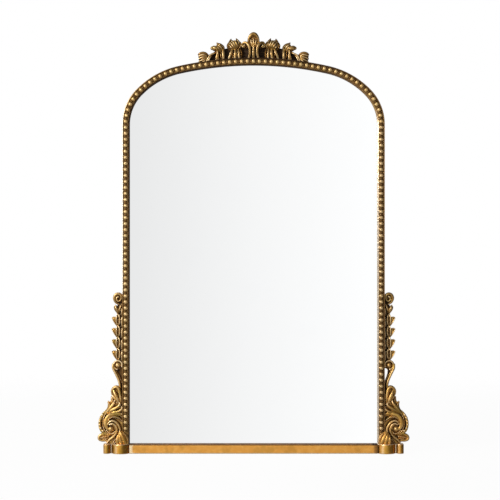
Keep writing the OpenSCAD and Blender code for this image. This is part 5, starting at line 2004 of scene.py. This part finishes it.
@dataclass
class Studio:
    """A pale floor, soft light from the upper left and the photograph's camera.

    Attributes:
        distance: How far the camera stands from the picture plane, in metres.
        height: The camera's height.
        plane: Where the picture plane lies, close to the moulding's face.
        lens: Focal length, in millimetres.
        sensor: Width of the sensor, in millimetres.
        shift: Sideways shift of the lens.
        lamps: The lamps.
        walls: The room's greys from the left, at 0, to the right, at 1.
        low_wall: The room's colour low down.
    """

    distance: float = 4.0
    height: float = 0.4884
    plane: float = -0.008
    lens: float = 120.0
    sensor: float = 36.0
    shift: float = -0.007
    lamps: tuple[Lamp, ...] = (
        Lamp("key", (-2.3, -2.4, 1.5), 1.0, 88.0, (1.0, 0.985, 0.955)),
        Lamp("fill", (2.6, -3.4, 0.7), 1.1, 4.0, (0.97, 0.985, 1.0), mirrored=False),
        Lamp("back light", (-0.8, 2.4, 2.0), 1.4, 16.0, (1.0, 1.0, 1.0)))
    walls: tuple[Flat, ...] = ((0.0, 0.55), (0.07, 0.85), (0.16, 1.0), (0.30, 1.05), (0.4625, 0.848),
                               (0.50, 0.958), (0.5375, 1.045), (0.60, 0.54), (0.70, 0.19), (1.0, 0.11))
    low_wall: Colour = (0.5, 0.49, 0.475)

    def build(self) -> None:
        """Makes the camera, the lamps, the world and the floor."""
        scene = bpy.context.scene
        scene.view_settings.view_transform = "Standard"
        self.camera(scene)
        for lamp in self.lamps:
            lamp.hang(Vector((0.0, 0.0, 0.5)))
        self.world(scene)
        Floor().lay(scene)

    def camera(self, scene: bpy.types.Scene) -> None:
        """Sets the camera where the photograph was taken from.

        Args:
            scene: The scene.
        """
        data = bpy.data.cameras.new("camera")
        data.lens, data.sensor_width, data.shift_x = self.lens, self.sensor, self.shift
        made = bpy.data.objects.new("camera", data)
        made.location = (0.0, self.plane - self.distance, self.height)
        made.rotation_euler = (math.pi / 2, 0.0, 0.0)
        scene.collection.objects.link(made)
        scene.camera = made

    def world(self, scene: bpy.types.Scene) -> None:
        """Lights the room: white behind the object, bright around, dimmer to the right and below.

        Args:
            scene: The scene.
        """
        room = bpy.data.worlds.new("studio")
        room.use_nodes = True
        scene.world = room
        tree = Tree(room.node_tree)
        way = tree.node("ShaderNodeTexCoord", output="Generated")
        x = tree.node("ShaderNodeSeparateXYZ", None, {0: way})
        z = Value(tree, x.socket.node.outputs["Z"])
        stops = [(place, (grey,) * 3) for place, grey in self.walls]
        across = tree.node("ShaderNodeValToRGB", {"stops": stops}, {"Fac": x * 0.5 + 0.5})
        pale = tree.mix(across, self.low_wall, z.step(-0.16, -0.34))
        level = z.step(-0.55, -0.75, (1.0, 0.36)) * z.step(0.22, 0.62, (1.0, 0.32))
        light = tree.node("ShaderNodeBackground", None, {"Color": pale, "Strength": level})
        white = tree.node("ShaderNodeBackground", None, {"Color": (1.0, 1.0, 1.0), "Strength": 1.0})
        seen = tree.node("ShaderNodeLightPath", output="Is Camera Ray")
        both = tree.node("ShaderNodeMixShader", None, {0: seen, 1: light, 2: white})
        tree.node("ShaderNodeOutputWorld", None, {"Surface": both})


@dataclass
class Floor:
    """A pale floor that fades out at its rim and keeps the object's shadow.

    Attributes:
        half: Half its width, in metres.
        sunk: How far it lies under the object, in metres.
        clear_from: Distance from the middle at which it starts to fade.
        clear_at: Distance at which it has faded.
        white: Share of white that the camera sees on it.
        pale: Its colour, in two shades.
    """

    half: float = 3.0
    sunk: float = 0.0002
    clear_from: float = 1.4
    clear_at: float = 2.8
    white: float = 0.96
    pale: tuple[Colour, Colour] = ((0.80, 0.80, 0.79), (0.84, 0.84, 0.83))

    def lay(self, scene: bpy.types.Scene) -> None:
        """Lays the floor.

        Args:
            scene: The scene.
        """
        far = self.half
        mesh = bpy.data.meshes.new("floor")
        mesh.from_pydata([(-far, -far, 0), (far, -far, 0), (far, far, 0), (-far, far, 0)], [], [(0, 1, 2, 3)])
        made = bpy.data.objects.new("floor", mesh)
        made.location = (0.0, 0.0, -self.sunk)
        scene.collection.objects.link(made)
        paint = bpy.data.materials.new("pale_floor")
        paint.use_nodes = True
        mesh.materials.append(paint)
        self.dress(Tree(paint.node_tree))

    def dress(self, tree: Tree) -> None:
        """White to the camera but for the shadow, and clear to what metal and glass show.

        Args:
            tree: The material's node tree.
        """
        mottle = tree.noise(3.0, 2.0)
        matt = tree.node("ShaderNodeBsdfDiffuse", None, {"Color": tree.mix(*self.pale, mottle)})
        white = tree.node("ShaderNodeEmission", None, {"Color": (1.0, 1.0, 1.0), "Strength": 1.0})
        seen = tree.node("ShaderNodeLightPath", output="Is Camera Ray")
        mirrored = tree.node("ShaderNodeLightPath", output="Is Glossy Ray")
        lit = tree.node("ShaderNodeMixShader", None, {0: seen * self.white, 1: matt, 2: white})
        reach = tree.node("ShaderNodeVectorMath", {"operation": "LENGTH"}, {0: tree.place()}, "Value")
        faded = reach.step(self.clear_from, self.clear_at).larger(mirrored)
        clear = tree.node("ShaderNodeBsdfTransparent")
        shown = tree.node("ShaderNodeMixShader", None, {0: faded, 1: lit, 2: clear})
        tree.node("ShaderNodeOutputMaterial", None, {"Surface": shown})


def main() -> None:
    """Builds the pier mirror and its studio."""
    logging.basicConfig(level=logging.INFO, format="%(message)s")
    arch = Arch()
    Studio().build()
    for part in (Backing(), Moulding(arch), BeadAndReel(arch), Base(arch), SideCarving(arch), Crest(arch)):
        part.build()
        LOG.info("%s done", type(part).__name__)


if __name__ == "__main__":
    main()
